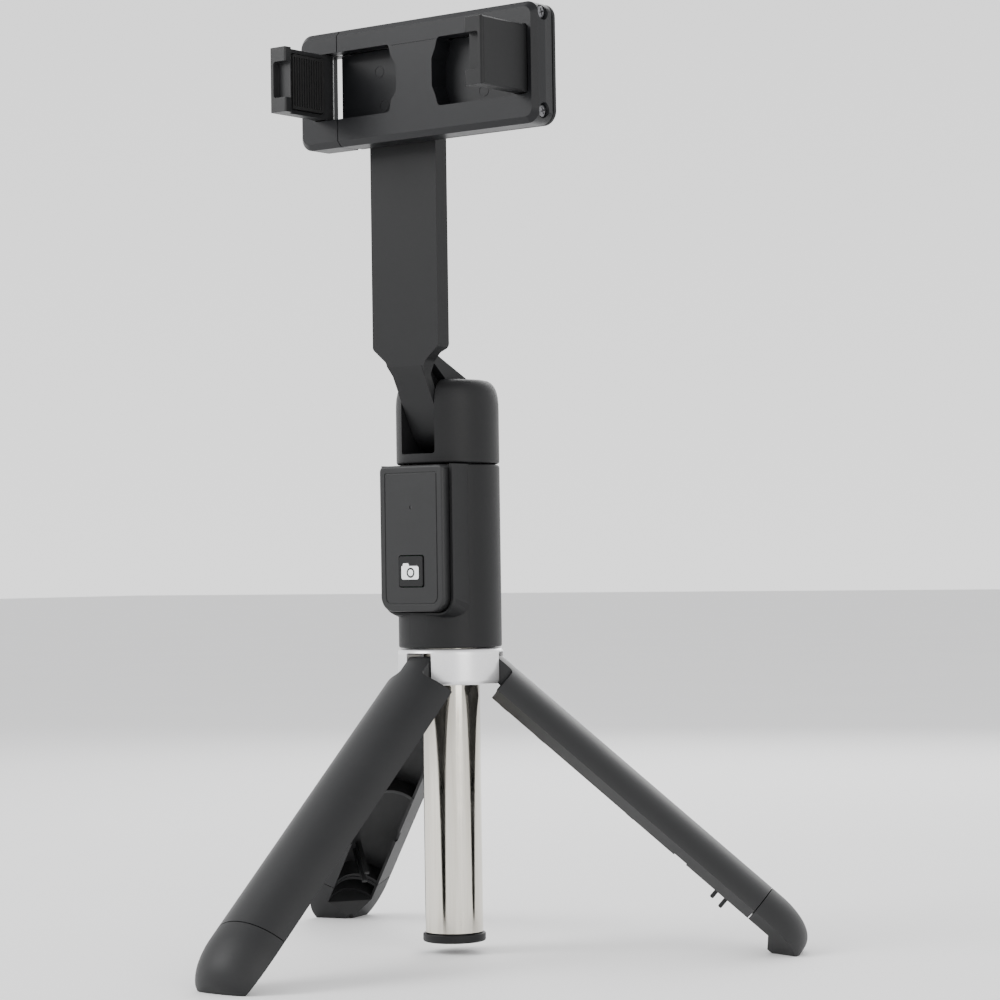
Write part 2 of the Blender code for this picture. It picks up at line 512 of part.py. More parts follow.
# return springs in the rails
for nm, z in (("lower", zc - 14.6), ("upper", zc + 14.6)):
    cu = bpy.data.curves.new("clamp_spring_" + nm, "CURVE")
    cu.dimensions = "3D"
    cu.bevel_depth = 0.18 * MM
    cu.bevel_resolution = 1
    cu.use_fill_caps = True
    sp = cu.splines.new("POLY")
    turns, per, x0, x1 = 11, 8, -11.2, 34.8
    sp.points.add(turns * per)
    for i in range(turns * per + 1):
        a = 2 * pi * i / per
        sp.points[i].co = ((x0 + (x1 - x0) * i / (turns * per)) * MM, (-23.5 + 1.0 * cos(a)) * MM,
                           (z + 1.0 * sin(a)) * MM, 1)
    ob = bpy.data.objects.new("spring_curve", cu)
    bpy.context.scene.collection.objects.link(ob)
    bpy.context.view_layer.update()
    me = bpy.data.meshes.new_from_object(ob.evaluated_get(bpy.context.evaluated_depsgraph_get()))
    bpy.data.objects.remove(ob, do_unlink=True)
    bm = bmesh.new()
    bm.from_mesh(me)
    bmesh.ops.remove_doubles(bm, verts=bm.verts, dist=1e-7)
    pivot(to_object("clamp_spring_" + nm, bm, "steel"), (x0, -23.5, z))


# folding jaws: built standing out from the front face, hinged on a pin along Z
def jaw(name, outer_x, inward):
    """inward is +1 for the left jaw, -1 for the right one."""
    px, py = outer_x + inward * PIN_IN, HOLD_Y0 + PIN_IN
    tip = HOLD_Y0 - JAW_L
    t = inward
    plan = [(outer_x, py), (outer_x, tip + 1.0), (outer_x + t * 1.0, tip),
            (outer_x + t * (JAW_T - 0.5), tip), (outer_x + t * JAW_T, tip + 0.5),
            (outer_x + t * JAW_T, tip + 2.6), (outer_x + t * 4.2, tip + 3.8),
            (outer_x + t * 4.2, HOLD_Y0 - 0.6), (outer_x + t * 4.6, HOLD_Y0 + 0.2), (outer_x + t * 4.6, py)]
    plan += [(px + t * 2.2 * cos(radians(a)), py + 2.2 * sin(radians(a))) for a in (20, 50, 80, 110, 140)]
    if inward < 0:
        plan = plan[::-1]
    bm = prism(plan, JAW_Z - JAW_HALF, JAW_Z + JAW_HALF)
    ob = to_object(name, bm, "dark")
    hw = 5.2
    cut(ob,
        rod(1.15, (px, py, JAW_Z - 12), (px, py, JAW_Z + 12), 12),
        # notch through the inward lip
        block(min(outer_x + t * 1.6, outer_x + t * 9), max(outer_x + t * 1.6, outer_x + t * 9),
              tip - 1, tip + 2.2, JAW_Z - hw, JAW_Z + hw),
        # seat of the pad
        block(min(outer_x + t * 3.0, outer_x + t * 9), max(outer_x + t * 3.0, outer_x + t * 9),
              tip + 4.4, HOLD_Y0 - 1.2, JAW_Z - 8.2, JAW_Z + 8.2))
    pivot(baked(ob), (px, py, JAW_Z))
    a, b = outer_x + t * 3.3, outer_x + t * 5.0
    pad = to_object(name + "_pad", block(min(a, b), max(a, b), tip + 4.7, HOLD_Y0 - 1.5, JAW_Z - 7.9, JAW_Z + 7.9), "rubber")
    for i in range(7):
        y = tip + 6.0 + i * 1.75
        cut(pad, block(min(b - t * 0.6, b + t), max(b - t * 0.6, b + t), y, y + 0.7, JAW_Z - 9, JAW_Z + 9))
    pivot(baked(pad), (px, py, JAW_Z))
    pin = to_object(name + "_pin", rod(0.9, (px, py, JAW_Z - 12.1), (px, py, JAW_Z + 12.1), 12), "steel")
    pivot(pin, (px, py, JAW_Z))


jaw("jaw_left", LJ_X, 1)
jaw("jaw_right", RJ_X, -1)

# ---------------------------------------------------------------- pull-out remote
rz = (REM_Z0 + REM_Z1) / 2


def remote_outline(inset=0.0):
    x, z0, z1 = REM_HALF - inset, REM_Z0 + inset, REM_Z1 - inset
    rb, rt = 4.6 - inset, 1.7 - inset * 0.5
    return (arc(rb, 180, 270, 5, -x + rb, z0 + rb) + arc(rb, 270, 360, 5, x - rb, z0 + rb)
            + arc(rt, 0, 90, 3, x - rt, z1 - rt) + arc(rt, 90, 180, 3, -x + rt, z1 - rt))


def shell_of(name, y0, y1, colour, rim_y, inner_y0, inner_y1):
    bm = prism(remote_outline(), y0, y1, "XZ")
    bmesh.ops.dissolve_limit(bm, angle_limit=radians(1), verts=bm.verts, edges=bm.edges)
    rim = [e for e in bm.edges if all(abs(v.co.y - rim_y * MM) < 1e-6 for v in e.verts)]
    bmesh.ops.bevel(bm, geom=rim, offset=0.8 * MM, segments=2, profile=0.5, affect="EDGES")
    ob = to_object(name, bm, colour)
    cut(ob, prism(remote_outline(1.3), inner_y0, inner_y1, "XZ"))
    return ob


BTN_X0, BTN_X1, BTN_Z0, BTN_Z1 = -4.4, 4.4, 107.6, 116.4
rf = shell_of("remote_front", REM_Y0, REM_SPLIT - 0.2, "dark", REM_Y0, REM_Y0 + 1.3, REM_SPLIT + 2)
cut(rf, block(BTN_X0 - 0.3, BTN_X1 + 0.3, REM_Y0 - 1, REM_Y0 + 3, BTN_Z0 - 0.3, BTN_Z1 + 0.3),
    rod(0.6, (0, REM_Y0 - 1, 130.5), (0, REM_Y0 + 2, 130.5), 12))
pivot(baked(rf), (0, REM_Y0, rz))
rb = shell_of("remote_back", REM_SPLIT + 0.2, REM_Y1, "dark", REM_Y1, REM_SPLIT - 2, REM_Y1 - 1.1)
pivot(baked(rb), (0, REM_Y1, rz))

btn = to_object("remote_button", block(BTN_X0, BTN_X1, REM_Y0 - 0.35, REM_Y0 + 1.0, BTN_Z0, BTN_Z1, 0.6, 2, along(1)), "dark")
join(btn, rod(1.3, (0, REM_Y0 + 0.8, 112.0), (0, REM_Y0 + 2.0, 112.0), 12))
pivot(baked(btn), (0, REM_Y0, 112.0))

board = to_object("remote_board", block(-9.8, 9.8, -13.0, -12.2, 103.5, 139.0), "pcb")
cut(board, rod(0.8, (-7.5, -20, 137.0), (-7.5, 0, 137.0), 10))
pivot(baked(board), (0, -12.6, rz))
sw = to_object("remote_switch", block(-2.6, 2.6, -15.0, -13.1, 109.4, 114.6, 0.3, 1), "white")
pivot(sw, (0, -13.2, 112.0))
cell = to_object("remote_battery", rod(8.0, (0, -16.3, 128.6), (0, -13.2, 128.6), 28), "steel")
pivot(cell, (0, -14.8, 128.6))

# ---------------------------------------------------------------- place everything on the pole's axis
root = bpy.data.objects.new("pole_axis", None)
PARTS.objects.link(root)
root.location = (0, AXIS_Y * MM, 0)
for o in list(PARTS.objects) + list(CUT.objects):
    if o is not root:
        o.parent = root
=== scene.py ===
# Looks for the selfie stick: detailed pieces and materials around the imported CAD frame.
import bpy
import bmesh
from math import pi, sin, cos, radians, sqrt, tan
from mathutils import Matrix, Vector


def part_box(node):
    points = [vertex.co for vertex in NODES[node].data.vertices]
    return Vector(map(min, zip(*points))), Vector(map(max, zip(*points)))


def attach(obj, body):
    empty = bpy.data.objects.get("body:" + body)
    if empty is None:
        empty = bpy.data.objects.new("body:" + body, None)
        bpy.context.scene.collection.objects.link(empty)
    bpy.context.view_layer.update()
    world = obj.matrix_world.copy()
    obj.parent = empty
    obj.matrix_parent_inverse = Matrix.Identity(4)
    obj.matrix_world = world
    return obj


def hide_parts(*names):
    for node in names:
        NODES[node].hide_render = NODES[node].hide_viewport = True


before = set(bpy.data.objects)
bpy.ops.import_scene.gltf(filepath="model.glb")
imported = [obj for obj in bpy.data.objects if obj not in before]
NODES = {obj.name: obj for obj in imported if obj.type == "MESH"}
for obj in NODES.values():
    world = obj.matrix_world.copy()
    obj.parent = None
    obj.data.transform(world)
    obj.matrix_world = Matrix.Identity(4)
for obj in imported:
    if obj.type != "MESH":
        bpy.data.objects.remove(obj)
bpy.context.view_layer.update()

_lo, _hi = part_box("tube_outer")
AY = (_lo.y + _hi.y) / 2 * 1000          # the pole's axis, in mm along Y
MM = 0.001
AXIS = Matrix.Translation((0, AY * MM, 0))
OPEN = 48.95
PIN = Vector((0, -10.67, 84.6))
scene = bpy.context.scene

# ================================================================ materials
def nodes_of(name):
    m = bpy.data.materials.new(name)
    m.use_nodes = True
    t = m.node_tree
    b = t.nodes["Principled BSDF"]
    return m, t, b


def add(t, kind, **sockets):
    n = t.nodes.new(kind)
    for k, v in sockets.items():
        n.inputs[k.replace("_", " ")].default_value = v
    return n


def coords(t, scale=(1, 1, 1)):
    c = t.nodes.new("ShaderNodeTexCoord")
    mp = t.nodes.new("ShaderNodeMapping")
    mp.inputs["Scale"].default_value = scale
    t.links.new(c.outputs["Object"], mp.inputs["Vector"])
    return mp.outputs["Vector"]


def noise(t, vec, scale, detail=3.0, rough=0.55):
    n = t.nodes.new("ShaderNodeTexNoise")
    n.inputs["Scale"].default_value = scale
    n.inputs["Detail"].default_value = detail
    n.inputs["Roughness"].default_value = rough
    t.links.new(vec, n.inputs["Vector"])
    return n.outputs["Fac"]


def ramp(t, fac, stops):
    r = t.nodes.new("ShaderNodeValToRGB")
    el = r.color_ramp.elements
    el[0].position, el[0].color = stops[0][0], (*stops[0][1], 1)
    el[1].position, el[1].color = stops[-1][0], (*stops[-1][1], 1)
    for p, c in stops[1:-1]:
        e = el.new(p)
        e.color = (*c, 1)
    t.links.new(fac, r.inputs["Fac"])
    return r.outputs["Color"]


def remap(t, fac, lo, hi, a=0.0, b=1.0):
    r = t.nodes.new("ShaderNodeMapRange")
    r.inputs["From Min"].default_value = a
    r.inputs["From Max"].default_value = b
    r.inputs["To Min"].default_value = lo
    r.inputs["To Max"].default_value = hi
    t.links.new(fac, r.inputs["Value"])
    return r.outputs["Result"]


def bump(t, height, dist, strength=1.0, normal=None):
    n = t.nodes.new("ShaderNodeBump")
    n.inputs["Distance"].default_value = dist
    n.inputs["Strength"].default_value = strength
    t.links.new(height, n.inputs["Height"])
    if normal is not None:
        t.links.new(normal, n.inputs["Normal"])
    return n.outputs["Normal"]


def mix(t, fac, a, b, kind="MIX"):
    m = t.nodes.new("ShaderNodeMix")
    m.data_type = "RGBA"
    m.blend_type = kind
    t.links.new(fac, m.inputs["Factor"])
    for s, v in (("A", a), ("B", b)):
        if isinstance(v, tuple):
            [i for i in m.inputs if i.name == s and i.type == "RGBA"][0].default_value = (*v, 1)
        else:
            t.links.new(v, [i for i in m.inputs if i.name == s and i.type == "RGBA"][0])
    return [o for o in m.outputs if o.type == "RGBA"][0]


def moulded(name, base, light, rough=(0.42, 0.56), grain=0.000012, grain_scale=9000.0, spec=0.5, coat=0.0):
    """Spark-eroded moulded plastic: a fine grain and faint flow marks."""
    m, t, b = nodes_of(name)
    vec = coords(t)
    blotch = noise(t, vec, 60.0, 4.0)
    fine = noise(t, vec, grain_scale, 2.0, 0.6)
    mid = noise(t, vec, grain_scale / 5, 3.0)
    col = ramp(t, blotch, [(0.3, base), (0.7, light)])
    speck = mix(t, remap(t, fine, 0.0, 0.35, 0.45, 0.75), col, tuple(c * 1.7 for c in light))
    t.links.new(speck, b.inputs["Base Color"])
    r = mix(t, blotch, (rough[0],) * 3, (rough[1],) * 3)
    t.links.new(r, b.inputs["Roughness"])
    n1 = bump(t, mid, grain * 2.0, 0.5)
    t.links.new(bump(t, fine, grain, 0.9, n1), b.inputs["Normal"])
    b.inputs["Specular IOR Level"].default_value = spec
    if coat:
        b.inputs["Coat Weight"].default_value = coat
        b.inputs["Coat Roughness"].default_value = 0.35
    return m


def metal(name, base, dark, rough, scale=(1, 1, 1), streak=400.0, bumps=0.000004, smudge=0.08):
    """Drawn or polished metal: streaks along one direction, smudges in the gloss."""
    m, t, b = nodes_of(name)
    vec = coords(t, scale)
    s = noise(t, vec, streak, 4.0, 0.6)
    flat = coords(t)
    sm = noise(t, flat, 90.0, 5.0, 0.6)
    col = ramp(t, s, [(0.3, dark), (0.65, base)])
    t.links.new(col, b.inputs["Base Color"])
    b.inputs["Metallic"].default_value = 1.0
    r1 = remap(t, s, rough * 0.8, rough * 1.3, 0.3, 0.7)
    r2 = remap(t, sm, 0.0, smudge, 0.45, 0.75)
    a = t.nodes.new("ShaderNodeMath")
    a.operation = "ADD"
    t.links.new(r1, a.inputs[0])
    t.links.new(r2, a.inputs[1])
    t.links.new(a.outputs[0], b.inputs["Roughness"])
    t.links.new(bump(t, s, bumps, 0.6), b.inputs["Normal"])
    return m


CHARCOAL = moulded("charcoal_plastic", (0.0070, 0.0072, 0.0077), (0.0086, 0.0088, 0.0094), spec=0.23)
HANDLE = moulded("handle_plastic", (0.0095, 0.0098, 0.0104), (0.0120, 0.0123, 0.0130), rough=(0.38, 0.5), spec=0.34)
SLATE = moulded("slate_plastic", (0.0062, 0.0065, 0.0076), (0.0078, 0.0082, 0.0094), rough=(0.32, 0.44), grain=0.000008, spec=0.24)
INNER = moulded("inner_plastic", (0.0085, 0.0087, 0.0092), (0.0105, 0.0108, 0.0115), rough=(0.5, 0.62))
RUBBER = moulded("soft_rubber", (0.0060, 0.0060, 0.0062), (0.0085, 0.0085, 0.0088), rough=(0.68, 0.85), grain=0.00003, grain_scale=5000.0, spec=0.3)
FOOT = moulded("foot_plastic", (0.0100, 0.0102, 0.0108), (0.0125, 0.0128, 0.0136), rough=(0.44, 0.58), grain=0.000014, spec=0.32)
TUBE = metal("polished_stainless", (0.72, 0.69, 0.62), (0.60, 0.57, 0.50), 0.085, (1, 1, 0.03), 900.0, 0.0000015)
STEEL = metal("plain_steel", (0.70, 0.70, 0.70), (0.52, 0.52, 0.52), 0.25, (1, 1, 1), 600.0)
# dark steel for the screws and pins, darkened further so the sunk end-screw heads read as the shaded counterbores
# around them: partly a dark steel finish, partly painted shade
SCREW = metal("dark_steel_and_painted_hole_shade", (0.20, 0.20, 0.21), (0.12, 0.12, 0.125), 0.34, (1, 1, 1), 900.0)
ROD = metal("bright_rod", (0.85, 0.85, 0.84), (0.65, 0.65, 0.65), 0.12, (0.04, 1, 1), 900.0)

# silver collar: bright metallic paint with a fine flake and a satin clear coat
SILVER, t, b = nodes_of("silver_paint")
v = coords(t)
flake = noise(t, v, 7000.0, 1.0)
soft = noise(t, v, 70.0, 3.0)
c = ramp(t, flake, [(0.35, (0.70, 0.70, 0.71)), (0.65, (0.86, 0.86, 0.87))])
t.links.new(c, b.inputs["Base Color"])
b.inputs["Metallic"].default_value = 0.55
t.links.new(remap(t, soft, 0.24, 0.36), b.inputs["Roughness"])
t.links.new(bump(t, flake, 0.000004, 0.4), b.inputs["Normal"])
b.inputs["Coat Weight"].default_value = 0.4
b.inputs["Coat Roughness"].default_value = 0.2

WHITE, t, b = nodes_of("white_print")
v = coords(t)
t.links.new(ramp(t, noise(t, v, 3000.0, 3.0), [(0.3, (0.78, 0.79, 0.80)), (0.7, (0.90, 0.90, 0.91))]), b.inputs["Base Color"])
t.links.new(remap(t, noise(t, v, 400.0), 0.4, 0.55), b.inputs["Roughness"])

ACETAL = moulded("acetal", (0.70, 0.70, 0.68), (0.78, 0.78, 0.76), rough=(0.35, 0.45))

PCB, t, b = nodes_of("circuit_board")
v = coords(t)
w = t.nodes.new("ShaderNodeTexVoronoi")
w.feature = "DISTANCE_TO_EDGE"
w.inputs["Scale"].default_value = 500.0
t.links.new(v, w.inputs["Vector"])
t.links.new(ramp(t, w.outputs["Distance"], [(0.02, (0.03, 0.20, 0.08)), (0.08, (0.01, 0.09, 0.04))]), b.inputs["Base Color"])
t.links.new(remap(t, noise(t, v, 300.0), 0.3, 0.45), b.inputs["Roughness"])

# ================================================================ shape helpers (mm in, metres out)
def put(name, bm):
    me = bpy.data.meshes.new(name)
    bmesh.ops.recalc_face_normals(bm, faces=bm.faces)
    bm.to_mesh(me)
    bm.free()
    ob = bpy.data.objects.new(name, me)
    scene.collection.objects.link(ob)
    return ob


def scaled(bm):
    bmesh.ops.scale(bm, vec=(MM, MM, MM), verts=bm.verts)
    return bm


def along(axis):
    def test(e):
        d = (e.verts[1].co - e.verts[0].co).normalized()
        return abs(d[axis]) > 0.99
    return test


def block(x0, x1, y0, y1, z0, z1, bevel=0.0, segs=1, pick=None):
    bm = bmesh.new()
    bmesh.ops.create_cube(bm, size=1.0)
    bmesh.ops.scale(bm, vec=(x1 - x0, y1 - y0, z1 - z0), verts=bm.verts)
    bmesh.ops.translate(bm, vec=((x0 + x1) / 2, (y0 + y1) / 2, (z0 + z1) / 2), verts=bm.verts)
    if bevel:
        edges = [e for e in bm.edges if pick is None or pick(e)]
        bmesh.ops.bevel(bm, geom=edges, offset=bevel, segments=segs, profile=0.5, affect="EDGES")
    return scaled(bm)


def rod(r, a, b, segs=48, r2=None):
    a, b = Vector(a), Vector(b)
    bm = bmesh.new()
    d = b - a
    m = Matrix.Translation((a + b) / 2) @ d.to_track_quat("Z", "Y").to_matrix().to_4x4()
    bmesh.ops.create_cone(bm, cap_ends=True, segments=segs, radius1=r,
                          radius2=r if r2 is None else r2, depth=d.length, matrix=m)
    return scaled(bm)


def ring_of(r1, r0, a, b, segs=48):
    """A short tube between two points."""
    o = put("tmp_ring", rod(r1, a, b, segs))
    a, b = Vector(a), Vector(b)
    e = (b - a).normalized() * 2
    cut(o, rod(r0, a - e, b + e, segs))
    return o


def prism(outline, lo, hi, plane="XY"):
    bm = bmesh.new()
    vs = [bm.verts.new((u, w, lo)) for u, w in outline]
    f = bm.faces.new(vs)
    out = bmesh.ops.extrude_face_region(bm, geom=[f])
    up = [g for g in out["geom"] if isinstance(g, bmesh.types.BMVert)]
    bmesh.ops.translate(bm, vec=(0, 0, hi - lo), verts=up)
    bmesh.ops.recalc_face_normals(bm, faces=bm.faces)
    if plane == "XZ":
        m = Matrix(((1, 0, 0, 0), (0, 0, 1, 0), (0, 1, 0, 0), (0, 0, 0, 1)))
    elif plane == "YZ":
        m = Matrix(((0, 0, 1, 0), (1, 0, 0, 0), (0, 1, 0, 0), (0, 0, 0, 1)))
    else:
        m = Matrix.Identity(4)
    bmesh.ops.transform(bm, matrix=m, verts=bm.verts)
    bmesh.ops.recalc_face_normals(bm, faces=bm.faces)
    return scaled(bm)


def lathe(name, profile, segs=128):
    """profile: (r, z) points, down the outer side; closed back through the inside if it starts off the axis."""
    bm = bmesh.new()
    n = len(profile)
    rings = []
    for r, z in profile:
        if r < 1e-9:
            rings.append([bm.verts.new((0, 0, z))] * segs)
        else:
            rings.append([bm.verts.new((r * cos(2 * pi * i / segs), r * sin(2 * pi * i / segs), z)) for i in range(segs)])
    pairs = [(i, i + 1) for i in range(n - 1)]
    if profile[0][0] > 1e-9:
        pairs.append((n - 1, 0))
    for a, b in pairs:
        for i in range(segs):
            j = (i + 1) % segs
            q = []
            for w in (rings[a][i], rings[a][j], rings[b][j], rings[b][i]):
                if w not in q:
                    q.append(w)
            if len(q) > 2:
                bm.faces.new(q)
    bmesh.ops.recalc_face_normals(bm, faces=bm.faces)
    return put(name, scaled(bm))


def boolean(ob, tool, op="DIFFERENCE"):
    if isinstance(tool, bmesh.types.BMesh):
        tool = put("tool", tool)
    md = ob.modifiers.new("b", "BOOLEAN")
    md.operation = op
    md.object = tool
    md.solver = "EXACT"
    apply(ob)
    bpy.data.objects.remove(tool, do_unlink=True)
    return ob


def apply(ob):
    bpy.context.view_layer.update()
    ev = ob.evaluated_get(bpy.context.evaluated_depsgraph_get())
    me = bpy.data.meshes.new_from_object(ev)
    ob.modifiers.clear()
    old = ob.data
    ob.data = me
    if old.users == 0:
        bpy.data.meshes.remove(old)
    return ob


def cut(ob, *tools):
    for t_ in tools:
        boolean(ob, t_)
    return ob


def union(ob, *tools):
    for t_ in tools:
        boolean(ob, t_, "UNION")
    return ob


def within(ob, *tools):
    for t_ in tools:
        boolean(ob, t_, "INTERSECT")
    return ob


def soften(ob, width, segs=2, angle=28):
    """Small rounded edges everywhere that faces meet at an angle."""
    bm = bmesh.new()
    bm.from_mesh(ob.data)
    bmesh.ops.remove_doubles(bm, verts=bm.verts, dist=2e-6)
    bmesh.ops.dissolve_degenerate(bm, edges=bm.edges, dist=2e-6)
    bmesh.ops.dissolve_limit(bm, angle_limit=radians(0.4), verts=bm.verts, edges=bm.edges)
    bm.to_mesh(ob.data)
    bm.free()
    if width:
        md = ob.modifiers.new("soft", "BEVEL")
        md.width = width * MM
        md.segments = segs
        md.limit_method = "ANGLE"
        md.angle_limit = radians(angle)
        md.miter_outer = "MITER_ARC"
        md.use_clamp_overlap = True
        apply(ob)
    ob.data.shade_smooth()
    ob.data.set_sharp_from_angle(angle=radians(40))
    wn = ob.modifiers.new("weighted", "WEIGHTED_NORMAL")
    wn.keep_sharp = True
    wn.weight = 80
    wn.mode = "FACE_AREA"
    apply(ob)
    return ob


def arc(r, a0, a1, n, cx=0.0, cy=0.0):
    return [(cx + r * cos(radians(a0 + (a1 - a0) * i / n)),
             cy + r * sin(radians(a0 + (a1 - a0) * i / n))) for i in range(n + 1)]


def sector(r0, r1, half, n=36, mid=-90.0):
    return arc(r1, mid - half, mid + half, n) + arc(r0, mid + half, mid - half, n)


def round_poly(points, n=6):
    """A closed outline whose corners (x, y, radius) are rounded."""
    out = []
    k = len(points)
    for i in range(k):
        x, y, r = points[i]
        p = Vector((x, y))
        a = Vector(points[i - 1][:2])
        b = Vector(points[(i + 1) % k][:2])
        u, w = (a - p).normalized(), (b - p).normalized()
        if r <= 0:
            out.append((x, y))
            continue
        ang = u.angle(w)
        d = min(r / tan(ang / 2), (a - p).length * 0.49, (b - p).length * 0.49)
        rr = d * tan(ang / 2)
        c = p + (u + w).normalized() * (rr / sin(ang / 2))
        s, e = p + u * d, p + w * d
        a0 = (s - c)
        a1 = (e - c)
        tot = a0.angle_signed(a1)
        for j in range(n + 1):
            q = Matrix.Rotation(-tot * j / n, 2) @ a0
            out.append((c.x + q.x, c.y + q.y))
    return out


def mat(ob, *ms):
    ob.data.materials.clear()
    for m in ms:
        ob.data.materials.append(m)
    return ob


def done(ob, name, body, replaced=(), material=None, place=AXIS):
    """Place a finished piece in the row frame and tie it to its body."""
    ob.name = name
    ob.data.name = name
    ob.data.transform(place)
    ob.matrix_world = Matrix.Identity(4)
    if material is not None:
        mat(ob, material)
    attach(ob, body)
    if replaced:
        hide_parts(*replaced)
    return ob


def turn(deg):
    return AXIS @ Matrix.Rotation(radians(deg), 4, "Z")


def leg_place(deg):
    p = PIN * MM
    return (AXIS @ Matrix.Rotation(radians(deg), 4, "Z") @ Matrix.Translation(p)
            @ Matrix.Rotation(radians(-OPEN), 4, "X") @ Matrix.Translation(-p))


# ================================================================ pole, plug, sleeves
TUBE_R, TUBE_Z0, TUBE_Z1 = 8.5, 6.05, 141.2
tube = lathe("tube", [(TUBE_R - 0.4, TUBE_Z1 - 0.1), (TUBE_R - 0.1, TUBE_Z1), (TUBE_R, TUBE_Z1 - 0.1),
                      (TUBE_R, TUBE_Z0 + 0.12), (TUBE_R - 0.12, TUBE_Z0), (TUBE_R - 0.4, TUBE_Z0)], 192)
# a small pressed dimple holds the end plug
_d = radians(-40.0)
cut(tube, rod(0.55, (8.42 * cos(_d), 8.42 * sin(_d), 9.2), (9.4 * cos(_d), 9.4 * sin(_d), 9.2), 24, 0.9))
soften(tube, 0)
done(tube, "tube_outer_vis", "handle", ["tube_outer"], TUBE)

plug = lathe("plug", [(0, 15.0), (7.2, 15.0), (7.6, 14.6), (7.8, 13.8), (7.8, 5.75), (8.95, 5.75), (9.15, 5.68),
                      (9.25, 5.48), (9.25, 3.9), (9.18, 3.62), (9.0, 3.42), (8.6, 3.3), (6.4, 3.3), (6.2, 3.5),
                      (6.2, 4.6), (0, 4.6)], 160)
cut(plug, block(-4.4, 4.4, -0.45, 0.45, 4.0, 5.2), rod(0.8, (3.0, 2.6, 4.0), (3.0, 2.6, 5.0), 20))
soften(plug, 0.12)
done(plug, "tube_end_plug_vis", "handle", ["tube_end_plug"], CHARCOAL)

# ================================================================ handle shell with the remote's dock
BR, BZ0, BZ1, BORE = 15.2, 89.5, 143.0, 8.85
DH, DY, DZ0 = 13.2, -14.9, 99.2
body = lathe("body", [(8.25, BZ1), (14.5, BZ1), (14.85, BZ1 - 0.1), (15.1, BZ1 - 0.35), (BR, BZ1 - 0.8), (BR, BZ0 + 0.7),
                      (15.08, BZ0 + 0.3), (14.8, BZ0 + 0.05), (14.4, BZ0), (BORE, BZ0), (BORE, 141.5), (7.75, 141.5), (7.75, BZ1)], 160)


def hull(points):
    pts = sorted(set((round(x, 5), round(y, 5)) for x, y in points))

    def half(ps):
        out = []
        for p in ps:
            while len(out) > 1 and ((out[-1][0] - out[-2][0]) * (p[1] - out[-2][1])
                                    - (out[-1][1] - out[-2][1]) * (p[0] - out[-2][0])) <= 0:
                out.pop()
            out.append(p)
        return out[:-1]
    return half(pts) + half(pts[::-1])


# a raised platform with rounded lower corners, easing back to the cylinder
steps = 12
bm = bmesh.new()
rings = []
for i in range(steps + 1):
    f = i / steps
    y = DY + (-1.0 - DY) * f
    drop = 5.0 * f
    out = ([(x, z - drop) for x, z in arc(5.6, 180, 270, 20, -DH + 5.6, DZ0 + 5.6)]
           + [(x, z - drop) for x, z in arc(5.6, 270, 360, 20, DH - 5.6, DZ0 + 5.6)]
           + [(DH, BZ1 - 0.02), (-DH, BZ1 - 0.02)])
    rings.append([bm.verts.new((x, y, z)) for x, z in out])
n_ = len(rings[0])
for i in range(steps):
    for j in range(n_):
        k = (j + 1) % n_
        bm.faces.new((rings[i][j], rings[i][k], rings[i + 1][k], rings[i + 1][j]))
bm.faces.new(rings[0])
bm.faces.new(rings[-1][::-1])
bmesh.ops.recalc_face_normals(bm, faces=bm.faces)
dock = put("dock", scaled(bm))
cut(dock, rod(BORE + 0.4, (0, 0, 80), (0, 0, 160), 96))
union(body, dock)
RH, RY0, RY1, RZ0, RZ1 = 11.9, -17.7, -10.1, 100.2, 142.8
cut(body,
    block(-RH - 0.35, RH + 0.35, -30, RY1 + 0.35, RZ0 - 0.35, BZ1 + 5, 4.2, 14,
          lambda e: along(1)(e) and e.verts[0].co.z < RZ0 + 3),
    # charging contacts' window and the latch slot at the back of the dock
    block(-3.2, 3.2, RY1, RY1 + 1.3, 104.2, 106.0), block(-1.6, 1.6, RY1, RY1 + 1.3, 136.0, 138.4))
soften(body, 0.28, 2, 30)
done(body, "handle_shell_vis", "handle", ["handle_shell"], CHARCOAL)

# two contacts in the dock
for i, x in enumerate((-1.6, 1.6)):
    c = put("contact", block(x - 0.8, x + 0.8, RY1 + 0.5, RY1 + 1.28, 104.5, 105.7, 0.15, 2))
    soften(c, 0)
    done(c, f"dock_contact_{i}", "handle", (), STEEL)

# ================================================================ silver collar
CR, C0, C1, NH, NT = 15.6, 78.8, 89.2, 4.55, 88.1
prof = [(BORE, C1), (14.7, C1), (14.95, C1 - 0.12), (15.3, C1 - 0.5), (15.52, C1 - 1.0), (CR, C1 - 1.6),
        (CR, C0 + 1.3), (15.52, C0 + 0.8), (15.3, C0 + 0.35), (14.95, C0 + 0.06), (14.7, C0), (BORE, C0)]
ring = lathe("ring", prof, 192)
for ang in (0, 120, 240):
    r_ = Matrix.Rotation(radians(ang), 4, "Z")
    a = put("n", block(-NH, NH, -20, -8.0, C0 - 2, NT, 0.5, 5, lambda e: along(1)(e) and e.verts[0].co.z > C1 - 3))
    c = put("h", rod(1.15, (-9.5, -10.67, 84.6), (9.5, -10.67, 84.6), 32))
    for q in (a, c):
        q.data.transform(r_)
    boolean(ring, a)
    boolean(ring, c)
soften(ring, 0.32, 3, 30)
done(ring, "collar_ring_vis", "handle", ["collar_ring"], SILVER)

# ================================================================ legs and feet, built folded and then opened
PR, PZ, LR, LH, LI, LW, LF, SS = 10.67, 84.6, 15.2, 57.0, 13.75, 51.5, 8.86, 105.5
FB = 8.87
FS = (PZ + (LR - FB - PR) * sin(radians(OPEN))) / cos(radians(OPEN))


